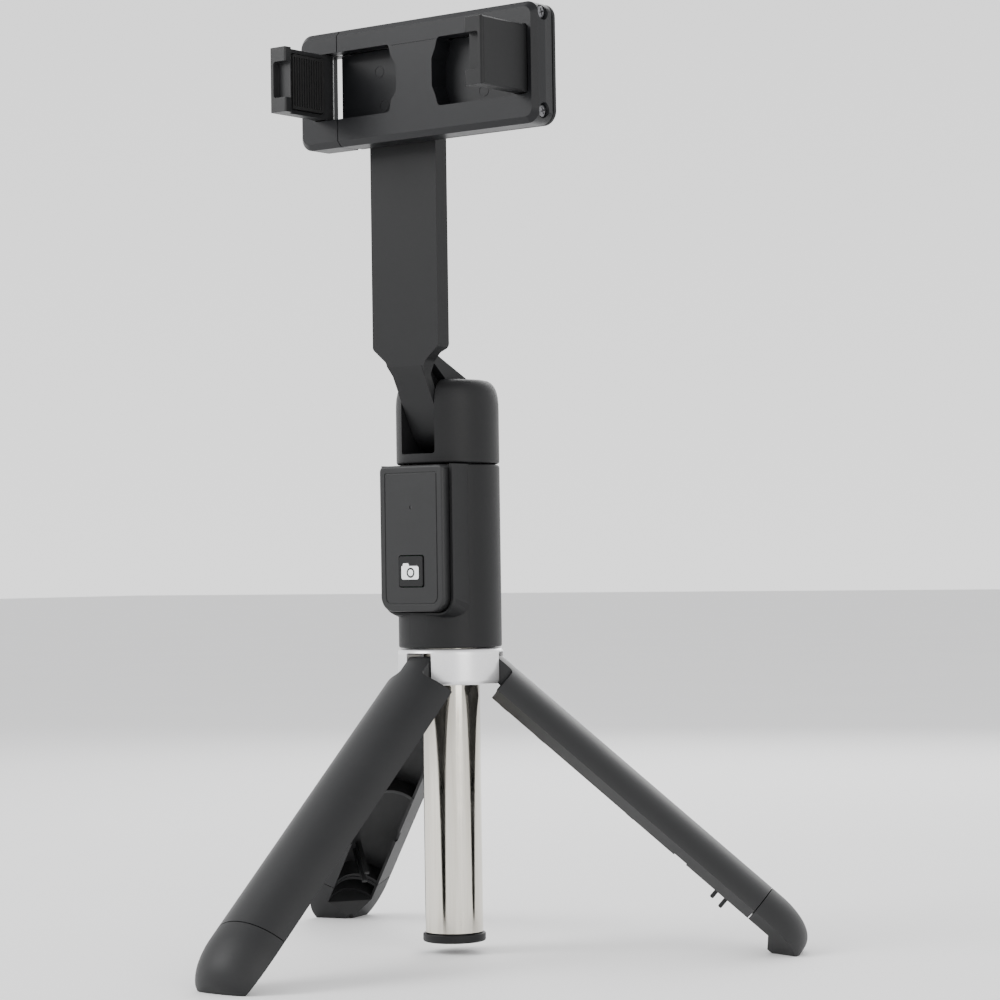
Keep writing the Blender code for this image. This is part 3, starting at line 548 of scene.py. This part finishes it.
def leg_side():
    pts = [(-PR + 1.8 * cos(radians(a)), PZ + 1.8 * sin(radians(a))) for a in range(0, 126, 9)]
    pts += [(-PR - 1.8, PZ + 1.32), (-PR - 2.4, PZ + 0.9), (-PR - 3.3, PZ - 0.1), (-PR - 4.1, PZ - 1.1), (-LR - 0.2, PZ - 1.9 - 0.2)]
    pts += [(-LR - 0.2, PZ - SS), (-2.0, PZ - SS), (-2.0, PZ - 10.4)]
    pts += [(-4.2, PZ - 7.6), (-PR + 1.8, PZ - 7.6)]
    return pts


def leg_front_outline():
    side = [(4.15, PZ + 4), (4.15, PZ - 6.4), (4.22, PZ - 6.9), (4.5, PZ - 7.3), (4.9, PZ - 7.62), (5.4, PZ - 7.9),
            (6.3, PZ - 8.08), (7.5, PZ - 8.2), (10.0, PZ - 8.4), (LR, PZ - 8.6), (LR, PZ - SS - 2)]
    return [(-x, z) for x, z in side] + side[::-1]


leg = put("leg", prism(sector(LF, LR, LH, 72), PZ - SS, PZ + 3.5))
within(leg, prism(leg_front_outline(), -17, -3, "XZ"), prism(leg_side(), -17, 17, "YZ"))
cut(leg,
    prism(sector(5.0, LI, LW, 60), PZ - 60.0, PZ - 14.0),
    prism(sector(5.0, LI, LW, 60), PZ - SS + 1.4, PZ - 61.3),
    rod(9.7, (0, 0, 2.3), (0, 0, 6.85), 96),
    rod(1.15, (-20, -PR, PZ), (20, -PR, PZ), 32))
# two latch fingers inside, below the end of the tube when folded
for s_, tip in ((94.0, -1.6), (97.6, -1.0)):
    union(leg, block(-0.7, 0.7, -LI - 0.6, tip, PZ - s_ - 0.6, PZ - s_ + 0.6, 0.35, 4,
                     lambda e: along(0)(e) and e.verts[0].co.y > -5))
for sx in (-1, 1):
    # small latch nibs on the free edges
    for s in (13.0, 27.0, 61.0):
        union(leg, prism(sector(LF - 0.28, LF + 1.0, 2.1, 8, -90 + sx * (LH - 2.4)), PZ - s - 1.4, PZ - s + 1.4))
soften(leg, 0.3, 2, 32)
mat(leg, HANDLE)

foot = put("foot", prism(sector(1.2, LR + 1, LH, 72), PZ - FS - 1, PZ - SS - 0.3))
ty = -(LR - FB)
slope = tan(radians(OPEN))
dome = [(0.0, PZ - SS + 2), (LR, PZ - SS + 2), (LR, PZ - SS - 4.0)]
for a in range(4, 90, 4):
    dome.append(((LR + ty) * cos(radians(a)) ** 0.72 - ty, PZ - SS - 4.0 - (FS - SS - 4.0) * sin(radians(a))))
dome += [(-ty, PZ - FS), (0.0, PZ - FS)]
within(foot, lathe("dome", dome[::-1], 160))
within(foot, prism([(-LR - 1, PZ - SS + 1), (-LR - 1, PZ - FS + (-LR - 1 - ty) * slope),
                    (-0.9, PZ - FS + (-0.9 - ty) * slope), (-0.9, PZ - 115.9), (-4.7, PZ - 113.3),
                    (-4.7, PZ - SS + 1)], -17, 17, "YZ"))
cut(foot,
    rod(LF, (0, 0, PZ - 113.3), (0, 0, PZ - 90), 128),
    prism(sector(5.0, LI, LW, 60), PZ - 112.0, PZ - SS - 1.6))
soften(foot, 0.4, 3, 34)
mat(foot, FOOT)

for k, ang in (("front", 0), ("right", 120), ("left", 240)):
    for base, ob, slot_ in (("leg", leg, "dark_plastic"), ("foot", foot, "rubber")):
        c = bpy.data.objects.new(f"{base}_{k}_vis", ob.data.copy())
        scene.collection.objects.link(c)
        done(c, f"{base}_{k}_vis", f"leg_{k}", [f"{base}_{k}"], None, leg_place(ang))
for o in (leg, foot):
    bpy.data.objects.remove(o, do_unlink=True)

# ================================================================ head fork
H0, H1, SH, SZ, FZ, KR = 143.3, 168.0, 6.15, 146.2, 157.5, 10.7
top = [(BR - 3.0, H1 - 0.35), (BR - 2.0, H1 - 1.0), (BR - 1.2, H1 - 2.0), (BR - 0.6, H1 - 3.3), (BR - 0.2, H1 - 5.2), (BR - 0.04, H1 - 7.0), (BR, H1 - 9.0)]
head = lathe("head", [(0, H1), (BR - 5.6, H1), (BR - 4.2, H1 - 0.08)] + top
             + [(BR, H0 + 0.8), (15.1, H0 + 0.35), (14.85, H0 + 0.1), (14.5, H0), (0, H0)], 160)
cut(head,
    block(-SH, SH, -20, 20, SZ, H1 + 3, 0.8, 6, lambda e: along(1)(e) and e.verts[0].co.z < SZ + 1),
    rod(3.75, (0, 0, H0 - 1), (0, 0, SZ + 1), 64),
    rod(2.25, (-20, 0, FZ), (12.2, 0, FZ), 48),
    rod(4.3, (-20, 0, FZ), (-12.6, 0, FZ), 64))
soften(head, 0.3, 3, 30)
done(head, "head_fork_vis", "head", ["head_fork"], CHARCOAL)

hinge = lathe("hinge", [(0, 13.75), (1.9, 13.75), (2.1, 14.0), (3.5, 14.0), (3.8, 13.88), (4.0, 13.6), (4.0, 12.9),
                        (2.0, 12.9), (2.0, -11.2), (1.6, -11.8), (0, -11.8)], 96)
cut(hinge, rod(1.25, (0, 0, 12.6), (0, 0, 15), 6))
soften(hinge, 0.08)
done(hinge, "arm_hinge_pin_vis", "head", ["arm_hinge_pin"], STEEL,
     AXIS @ Matrix.Translation((0, 0, FZ * MM)) @ Matrix.Rotation(radians(-90), 4, "Y"))

# ================================================================ arm
AY0, AY1, AH, AT = -19.2, -14.1, 12.3, 266.5
HZ, HH = 253.0, 17.0
plate = round_poly([(-AH, 177.0, 1.6), (-7.4, 172.9, 2.2), (-5.9, 168.6, 0), (5.9, 168.6, 0), (7.4, 172.9, 2.2), (AH, 177.0, 1.6), (AH, AT, 8.0), (-AH, AT, 8.0)], 12)
arm = put("arm", prism(plate, AY0, AY1, "XZ"))
# the plate's foot turns back along the slanting tongue
cut(arm, prism([(AY0 - 3, 160.0), (AY0 - 3, 178.0), (AY0 + 0.1 * 0, 171.6), (-12.2, 158.0), (-12.2, 155.0)], -20, 20, "YZ"),
    prism([(-10, 178.0), (AY1 + 0.4, 176.6), (AY1 - 1.2, 175.2), (-14.8, 172.6), (-15.2, 166.0), (-8, 164.0)], -20, 20, "YZ"))
tongue = hull([(AY0, 176.0), (AY0, 171.4), (AY1, 176.0)] + arc(KR, 0, 360, 96, 0.0, FZ) + [(-12.2, 173.5), (-5.8, 168.2)])
knuckle = put("knuckle", prism(tongue, -5.9, 5.9, "YZ"))
# hollow sides: a front skin and a back strut with a pocket between them
pocket = round_poly([(-15.9, 171.6, 0.5), (-13.1, 172.3, 0.5), (-8.0, 168.0, 0.8), (-9.4, 164.2, 0.8), (-12.3, 163.6, 0.8)], 4)
for x0, x1 in ((2.9, 8.0), (-8.0, -2.9)):
    cut(knuckle, prism(pocket, x0, x1, "YZ"))
union(arm, knuckle)
cut(arm,
    prism([(-10.2, 184.0), (10.2, 184.0)] + arc(10.2, 0, 180, 40, 0, HZ), AY1 - 1.5, AY1 + 3, "XZ"),
    rod(2.3, (-10, 0, FZ), (10, 0, FZ), 48),
    rod(8.2, (0, AY0 - 1, HZ), (0, AY0 + 0.9, HZ), 64),
    rod(1.7, (0, -25, HZ), (0, -10, HZ), 32),
    rod(3.2, (0, AY1 - 1.2, HZ), (0, AY1 - 3.2, HZ), 48))
soften(arm, 0.42, 3, 30)
done(arm, "arm_vis", "arm", ["arm"], CHARCOAL)

cover = put("cover", prism([(-9.8, 184.4), (9.8, 184.4)] + arc(9.8, 0, 180, 40, 0, HZ), AY1 - 1.2, AY1, "XZ"))
cut(cover, rod(3.5, (0, AY1 - 3, HZ), (0, AY1 + 1, HZ), 48))
soften(cover, 0.25)
done(cover, "arm_back_cover_vis", "arm", ["arm_back_cover"], INNER)

# ================================================================ phone holder
Y0, Y1 = -29.05, -19.6
X0, XS, X1 = -31.4, -16.1, 56.2
RY = -22.55
JZ, JH, RHF = 253.8, 9.4, 9.8
CT = 1.3
LJ, RJ, PI_ = -24.8, 53.0, 2.4
CH = 1.65


def holder_piece(name, x0, x1, y1, left, right, r=4.0):
    lo, hi = HZ - HH, HZ + HH
    n = 14
    out = []
    out += arc(r, 180, 270, n, x0 + r, lo + r) if left else [(x0, lo)]
    out += arc(r, 270, 360, n, x1 - r, lo + r) if right else [(x1, lo)]
    out += arc(r, 0, 90, n, x1 - r, hi - r) if right else [(x1, hi)]
    out += arc(r, 90, 180, n, x0 + r, hi - r) if left else [(x0, hi)]
    bm = prism(out, Y0, y1, "XZ")
    rim = [e for e in bm.edges if all(abs(v.co.y - Y0 * MM) < 1e-6 for v in e.verts)
           and not (not left and all(abs(v.co.x - x0 * MM) < 1e-6 for v in e.verts))
           and not (not right and all(abs(v.co.x - x1 * MM) < 1e-6 for v in e.verts))]
    bmesh.ops.bevel(bm, geom=rim, offset=CH * MM, segments=1, profile=0.5, affect="EDGES")
    return put(name, bm)


frm = holder_piece("frm", XS, X1, Y1 - CT - 0.3, False, True)
FBK = Y1 - CT - 0.3
# a drafted end: its two halves meet in a faint crease
cut(frm,
    prism([(X1 + 2, Y0 - 1), (X1 + 2, -24.6), (X1, -24.6), (X1 - 0.38, Y0 - 1)], HZ - 20, HZ + 20),
    prism([(X1 + 2, FBK + 1), (X1 - 0.25, FBK + 1), (X1, -24.6), (X1 + 2, -24.6)], HZ - 20, HZ + 20))
left_rec = round_poly([(XS - 1, JZ - RHF, 0), (3.3, JZ - RHF, 1.1), (4.1, JZ - 6.3, 1.5), (6.1, JZ - 3.7, 1.8), (6.1, JZ + 3.7, 1.8),
                       (4.1, JZ + 6.3, 1.5), (3.3, JZ + RHF, 1.1), (XS - 1, JZ + RHF, 0)], 8)
right_rec = round_poly([(RJ + 0.4, JZ - RHF, 1.0), (RJ + 0.4, JZ + RHF, 1.0), (21.4, JZ + RHF, 1.2), (20.4, JZ + 6.6, 1.5), (19.2, JZ + 3.9, 1.8),
                        (19.2, JZ - 3.9, 1.8), (20.4, JZ - 6.6, 1.5), (21.4, JZ - RHF, 1.2)], 8)
cut(frm,
    prism(left_rec, Y0 - 1, RY, "XZ"), prism(right_rec, Y0 - 1, RY, "XZ"),
    block(-12.0, 36.0, -25.5, FBK + 1, HZ + 13.1, HZ + 16.1),
    block(-12.0, 36.0, -25.5, FBK + 1, HZ - 16.1, HZ - 13.1),
    rod(3.0, (0, RY + 0.45, HZ), (0, -10, HZ), 6),
    rod(1.15, (RJ - PI_, Y0 + PI_, JZ - 12.4), (RJ - PI_, Y0 + PI_, JZ + 12.4), 32),
    # thin mould line between the recesses
    block(4.6, 20.6, Y0 - 0.5, Y0 + 0.14, JZ + 9.2, JZ + 9.42))
for z in (HZ - 11.6, HZ + 11.6):
    cut(frm, rod(1.3, (XS - 1, -23.6, z), (38.0, -23.6, z), 32))
for z in (HZ - 13.6, HZ + 13.9):
    cut(frm, rod(1.0, (X1 + 1, -25.2, z), (44.0, -25.2, z), 24), rod(2.3, (X1 + 0.3, -25.2, z), (X1 - 1.35, -25.2, z), 48, 2.1))
# the recess floor runs on to the left, inside the carriage's opening
union(frm, block(-19.8, XS + 2.0, RY, FBK, JZ - 9.7, JZ + 9.7))
# ejector marks on the recess floors
for x, z in ((-5.4, JZ + 3.6), (-3.6, JZ - 6.4), (33.0, JZ - 6.0), (33.6, JZ + 6.2)):
    cut(frm, ring_of(1.75, 1.55, (x, RY - 0.6, z), (x, RY + 0.10, z), 48))
soften(frm, 0.24, 2, 24)
done(frm, "holder_frame_vis", "holder", ["holder_frame"], SLATE)

bk = ([(XS + 1.2, HZ - HH)] + arc(4.0, 270, 360, 14, X1 - 4, HZ - HH + 4) + arc(4.0, 0, 90, 14, X1 - 4, HZ + HH - 4) + [(XS + 1.2, HZ + HH)])
bcv = put("bcv", prism(bk, Y1 - CT, Y1, "XZ"))
cut(bcv, rod(1.75, (0, -30, HZ), (0, -10, HZ), 32), rod(3.0, (0, -30, HZ), (0, Y1 - 0.45, HZ), 6))
soften(bcv, 0.3)
done(bcv, "holder_back_cover_vis", "holder", ["holder_back_cover"], CHARCOAL)

for nm, z in (("lower", HZ - 13.6), ("upper", HZ + 13.9)):
    s = lathe("s", [(0, -0.35), (0.9, -0.38), (1.4, -0.48), (1.68, -0.64), (1.72, -0.95), (0.72, -1.3), (0.72, -11.0), (0, -11.2)], 64)
    for a in (0, 90):
        b_ = put("x", block(-1.05, 1.05, -0.2, 0.2, -0.95, 1.0))
        b_.data.transform(Matrix.Rotation(radians(a + 20), 4, "Z"))
        boolean(s, b_)
    soften(s, 0.05)
    done(s, f"holder_end_screw_{nm}_vis", "holder", [f"holder_end_screw_{nm}"], SCREW,
         AXIS @ Matrix.Translation(Vector((X1 - 0.32, -25.2, z)) * MM) @ Matrix.Rotation(radians(90), 4, "Y"))

car = holder_piece("car", X0, XS - 0.3, Y1, True, False)
cut(car,
    prism(round_poly([(LJ - 0.4, JZ - RHF, 1.0), (XS + 1, JZ - RHF, 0), (XS + 1, JZ + RHF, 0), (LJ - 0.4, JZ + RHF, 1.0)], 8), Y0 - 1, RY, "XZ"),
    block(-24.0, XS + 1, Y0 - 1, Y1 + 1, JZ - RHF, JZ + RHF),
    rod(1.15, (LJ + PI_, Y0 + PI_, JZ - 12.4), (LJ + PI_, Y0 + PI_, JZ + 12.4), 32))
for z in (HZ - 11.6, HZ + 11.6):
    cut(car, rod(1.2, (XS + 1, -23.6, z), (-29.4, -23.6, z), 32))
soften(car, 0.24, 2, 24)
done(car, "carriage_vis", "carriage", ["carriage"], SLATE)

for nm, z in (("lower", HZ - 11.6), ("upper", HZ + 11.6)):
    g = put("g", rod(0.95, (-29.2, -23.6, z), (36.0, -23.6, z), 48))
    soften(g, 0.15)
    done(g, f"guide_rod_{nm}_vis", "carriage", [f"guide_rod_{nm}"], ROD)


def jaw(name, ox, t_, body_):
    px, py = ox + t_ * PI_, Y0 + PI_
    tip = Y0 - 19.9
    plan = [(ox, py, 0), (ox, tip, 1.0), (ox + t_ * 6.2, tip, 0.5), (ox + t_ * 6.2, tip + 2.6, 0.3),
            (ox + t_ * 4.2, tip + 3.8, 0.4), (ox + t_ * 4.2, Y0 - 0.6, 0), (ox + t_ * 4.6, Y0 + 0.2, 0), (ox + t_ * 4.6, py, 0)]
    plan = round_poly(plan, 8)
    plan += [(px + t_ * 2.2 * cos(radians(a)), py + 2.2 * sin(radians(a))) for a in range(12, 168, 12)]
    ob = put(name, prism(plan, JZ - JH, JZ + JH))

    def bx(a, b_, *r):
        return block(min(ox + t_ * a, ox + t_ * b_), max(ox + t_ * a, ox + t_ * b_), *r)
    cut(ob,
        rod(1.15, (px, py, JZ - 12), (px, py, JZ + 12), 32),
        bx(1.6, 9, tip - 1, tip + 2.2, JZ - 5.2, JZ + 5.2, 0.8, 4, along(1)),
        bx(3.0, 9, tip + 4.4, Y0 - 1.2, JZ - 8.2, JZ + 8.2, 1.2, 6, along(0)))
    # chamfered ends of the outer face
    for s in (-1, 1):
        z = JZ + s * JH
        cut(ob, prism([(ox - t_ * 0.3, z + s * 0.3), (ox - t_ * 0.3, z - s * 0.7), (ox + t_ * 0.7, z + s * 0.3)], Y0 - 25, Y0 - 1.5, "XZ"))
    soften(ob, 0.22, 2, 28)
    done(ob, name + "_vis", body_, [name], CHARCOAL if t_ < 0 else HANDLE)
    a, b_ = ox + t_ * 3.3, ox + t_ * 4.95
    pad = put(name + "_pad", block(min(a, b_), max(a, b_), tip + 4.7, Y0 - 1.5, JZ - 7.9, JZ + 7.9, 1.0, 5, along(0)))
    n = 12
    for i in range(n):
        y = tip + 5.35 + i * (12.7 / n)
        cut(pad, block(min(b_ - t_ * 0.5, b_ + t_), max(b_ - t_ * 0.5, b_ + t_), y, y + 0.42, JZ - 7.1, JZ + 7.1))
    soften(pad, 0.1, 2, 30)
    done(pad, name + "_pad_vis", body_, [name + "_pad"], RUBBER)


jaw("jaw_left", LJ, 1, "jaw_left")
jaw("jaw_right", RJ, -1, "jaw_right")

# ================================================================ remote
RS = -13.4


def remote_outline(inset=0.0):
    x, z0, z1 = RH - inset, RZ0 + inset, RZ1 - inset
    b_, t_ = max(4.6 - inset, 0.6), max(1.7 - inset * 0.5, 0.5)
    return (arc(b_, 180, 270, 16, -x + b_, z0 + b_) + arc(b_, 270, 360, 16, x - b_, z0 + b_)
            + arc(t_, 0, 90, 10, x - t_, z1 - t_) + arc(t_, 90, 180, 10, -x + t_, z1 - t_))


def remote_shell(name, y0, y1, rim_y, i0, i1, size, segs):
    bm = prism(remote_outline(), y0, y1, "XZ")
    rim = [e for e in bm.edges if all(abs(v.co.y - rim_y * MM) < 1e-6 for v in e.verts)]
    bmesh.ops.bevel(bm, geom=rim, offset=size * MM, segments=segs, profile=0.5, affect="EDGES")
    ob = put(name, bm)
    cut(ob, prism(remote_outline(1.3), i0, i1, "XZ"))
    return ob


BX0, BX1, BZ0_, BZ1_ = -4.4, 4.4, 107.6, 116.4
rf = remote_shell("rf", RY0, RS - 0.2, RY0, RY0 + 1.3, RS + 2, 0.8, 6)
g1 = put("g1", prism(remote_outline(2.1), RY0 - 1, RY0 + 0.22, "XZ"))
cut(g1, prism(remote_outline(2.45), RY0 - 2, RY0 + 1, "XZ"))
cut(rf, g1,
    block(BX0 - 0.3, BX1 + 0.3, RY0 - 1, RY0 + 3, BZ0_ - 0.3, BZ1_ + 0.3, 0.7, 5, along(1)),
    rod(0.5, (0, RY0 - 1, 130.5), (0, RY0 + 2, 130.5), 24))
soften(rf, 0.12, 2, 30)
done(rf, "remote_front_vis", "remote", ["remote_front"], HANDLE)
led = put("led", rod(0.46, (0, RY0 + 0.18, 130.5), (0, RY0 + 1.2, 130.5), 24))
soften(led, 0.05)
done(led, "remote_led", "remote", (), INNER)

rb = remote_shell("rb", RS + 0.2, RY1, RY1, RS - 2, RY1 - 1.1, 0.8, 6)
cut(rb, block(-2.6, 2.6, RY1 - 0.5, RY1 + 1, 104.4, 105.8))
soften(rb, 0.12, 2, 30)
done(rb, "remote_back_vis", "remote", ["remote_back"], HANDLE)

btn = put("btn", block(BX0, BX1, RY0 - 0.35, RY0 + 1.0, BZ0_, BZ1_, 0.6, 5, along(1)))
union(btn, rod(1.3, (0, RY0 + 0.8, 112.0), (0, RY0 + 2.0, 112.0), 32))
soften(btn, 0.16, 3, 30)
done(btn, "remote_button_vis", "button", ["remote_button"], CHARCOAL)

# printed camera symbol: a rounded body, a flash bump and a lens ring
ix, iz, iy = -0.25, 112.0, RY0 - 0.35
sym = put("sym", prism(round_poly([(ix - 3.2, iz - 2.35, 0.7), (ix + 3.2, iz - 2.35, 0.7), (ix + 3.2, iz + 1.55, 0.7), (ix - 0.3, iz + 1.55, 0.05),
                                   (ix - 0.7, iz + 2.35, 0.2), (ix - 2.5, iz + 2.35, 0.2), (ix - 2.75, iz + 1.55, 0.05), (ix - 3.2, iz + 1.55, 0.3)], 8),
                       iy - 0.03, iy + 0.05, "XZ"))
cut(sym, ring_of(1.5, 0.95, (ix + 0.2, iy - 0.3, iz - 0.4), (ix + 0.2, iy + 0.3, iz - 0.4), 64))
soften(sym, 0)
done(sym, "button_symbol", "button", (), WHITE)

# ================================================================ CAD pieces that stay, with their finishes
for i in range(1, 6):
    mat(NODES[f"tube_section_{i}"], TUBE)
    mat(NODES[f"friction_sleeve_{i}"], ACETAL if i % 2 else INNER)
for n in ("leg_pin_front", "leg_pin_right", "leg_pin_left", "swivel_nut",
          "clamp_spring_lower", "clamp_spring_upper", "remote_battery"):
    mat(NODES[n], STEEL)
for n in ("swivel_screw", "jaw_left_pin", "jaw_right_pin"):
    mat(NODES[n], SCREW)
mat(NODES["swivel_washer"], ACETAL)
mat(NODES["remote_switch"], ACETAL)
mat(NODES["remote_board"], PCB)

# ================================================================ floor, light and camera
FLOOR, t, b = nodes_of("studio_floor")
v = coords(t)
t.links.new(ramp(t, noise(t, v, 6.0, 3.0), [(0.3, (0.94, 0.94, 0.94)), (0.7, (0.96, 0.96, 0.96))]), b.inputs["Base Color"])
b.inputs["Roughness"].default_value = 0.7
b.inputs["Specular IOR Level"].default_value = 0.2
me = bpy.data.meshes.new("floor")
me.from_pydata([(-9, -9, 0), (9, -9, 0), (9, 9, 0), (-9, 9, 0)], [], [(0, 1, 2, 3)])
floor = bpy.data.objects.new("studio_floor", me)
scene.collection.objects.link(floor)
mat(floor, FLOOR)

w = bpy.data.worlds.new("studio")
scene.world = w
w.use_nodes = True
nt = w.node_tree
bg = nt.nodes["Background"]
tc = nt.nodes.new("ShaderNodeTexCoord")
sep = nt.nodes.new("ShaderNodeSeparateXYZ")
nt.links.new(tc.outputs["Generated"], sep.inputs["Vector"])
rp = nt.nodes.new("ShaderNodeValToRGB")
rp.color_ramp.elements[0].position = 0.0
rp.color_ramp.elements[0].color = (1, 1, 1, 1)
rp.color_ramp.elements[1].position = 1.0
rp.color_ramp.elements[1].color = (0.45, 0.45, 0.46, 1)
nt.links.new(sep.outputs["Z"], rp.inputs["Fac"])
nt.links.new(rp.outputs["Color"], bg.inputs["Color"])
bg.inputs["Strength"].default_value = 1.7


def light(name, where, at, size, power, colour=(1, 1, 1), size_y=None):
    d = bpy.data.lights.new(name, "AREA")
    d.shape = "RECTANGLE"
    d.size, d.size_y = size, size_y or size
    d.energy = power
    d.color = colour
    o = bpy.data.objects.new(name, d)
    scene.collection.objects.link(o)
    where, at = Vector(where), Vector(at)
    o.matrix_world = Matrix.Translation(where) @ (at - where).to_track_quat("-Z", "Y").to_matrix().to_4x4()
    return o


mid = (0, AY * MM, 0.13)
light("key", (-0.55, -0.75, 0.75), mid, 0.6, 9.0)
light("side", (0.95, -0.35, 0.45), mid, 0.5, 4.0, (1.0, 0.98, 0.95), 0.9)
light("rim", (-0.3, 0.8, 0.6), mid, 0.7, 5.0)

a, D, H = radians(38.601), 0.86611, 0.1133
az, p, r = a + radians(-1.005), radians(1.28), radians(-0.825)
loc = Vector((sin(a) * D, -cos(a) * D + AY * MM, H))
fw = Vector((-sin(az), cos(az), 0))
rt = Vector((cos(az), sin(az), 0))
up = Vector((0, 0, 1))
fw2 = fw * cos(p) + up * sin(p)
up2 = -fw * sin(p) + up * cos(p)
rt3 = rt * cos(r) + up2 * sin(r)
up3 = -rt * sin(r) + up2 * cos(r)
cam = bpy.data.objects.new("camera", bpy.data.cameras.new("camera"))
cam.data.lens = 105.67
cam.data.sensor_width = 36.0
cam.data.clip_start = 0.01
cam.data.dof.use_dof = False
cam.matrix_world = Matrix(((rt3.x, up3.x, -fw2.x, loc.x), (rt3.y, up3.y, -fw2.y, loc.y), (rt3.z, up3.z, -fw2.z, loc.z), (0, 0, 0, 1)))
scene.collection.objects.link(cam)
scene.camera = cam
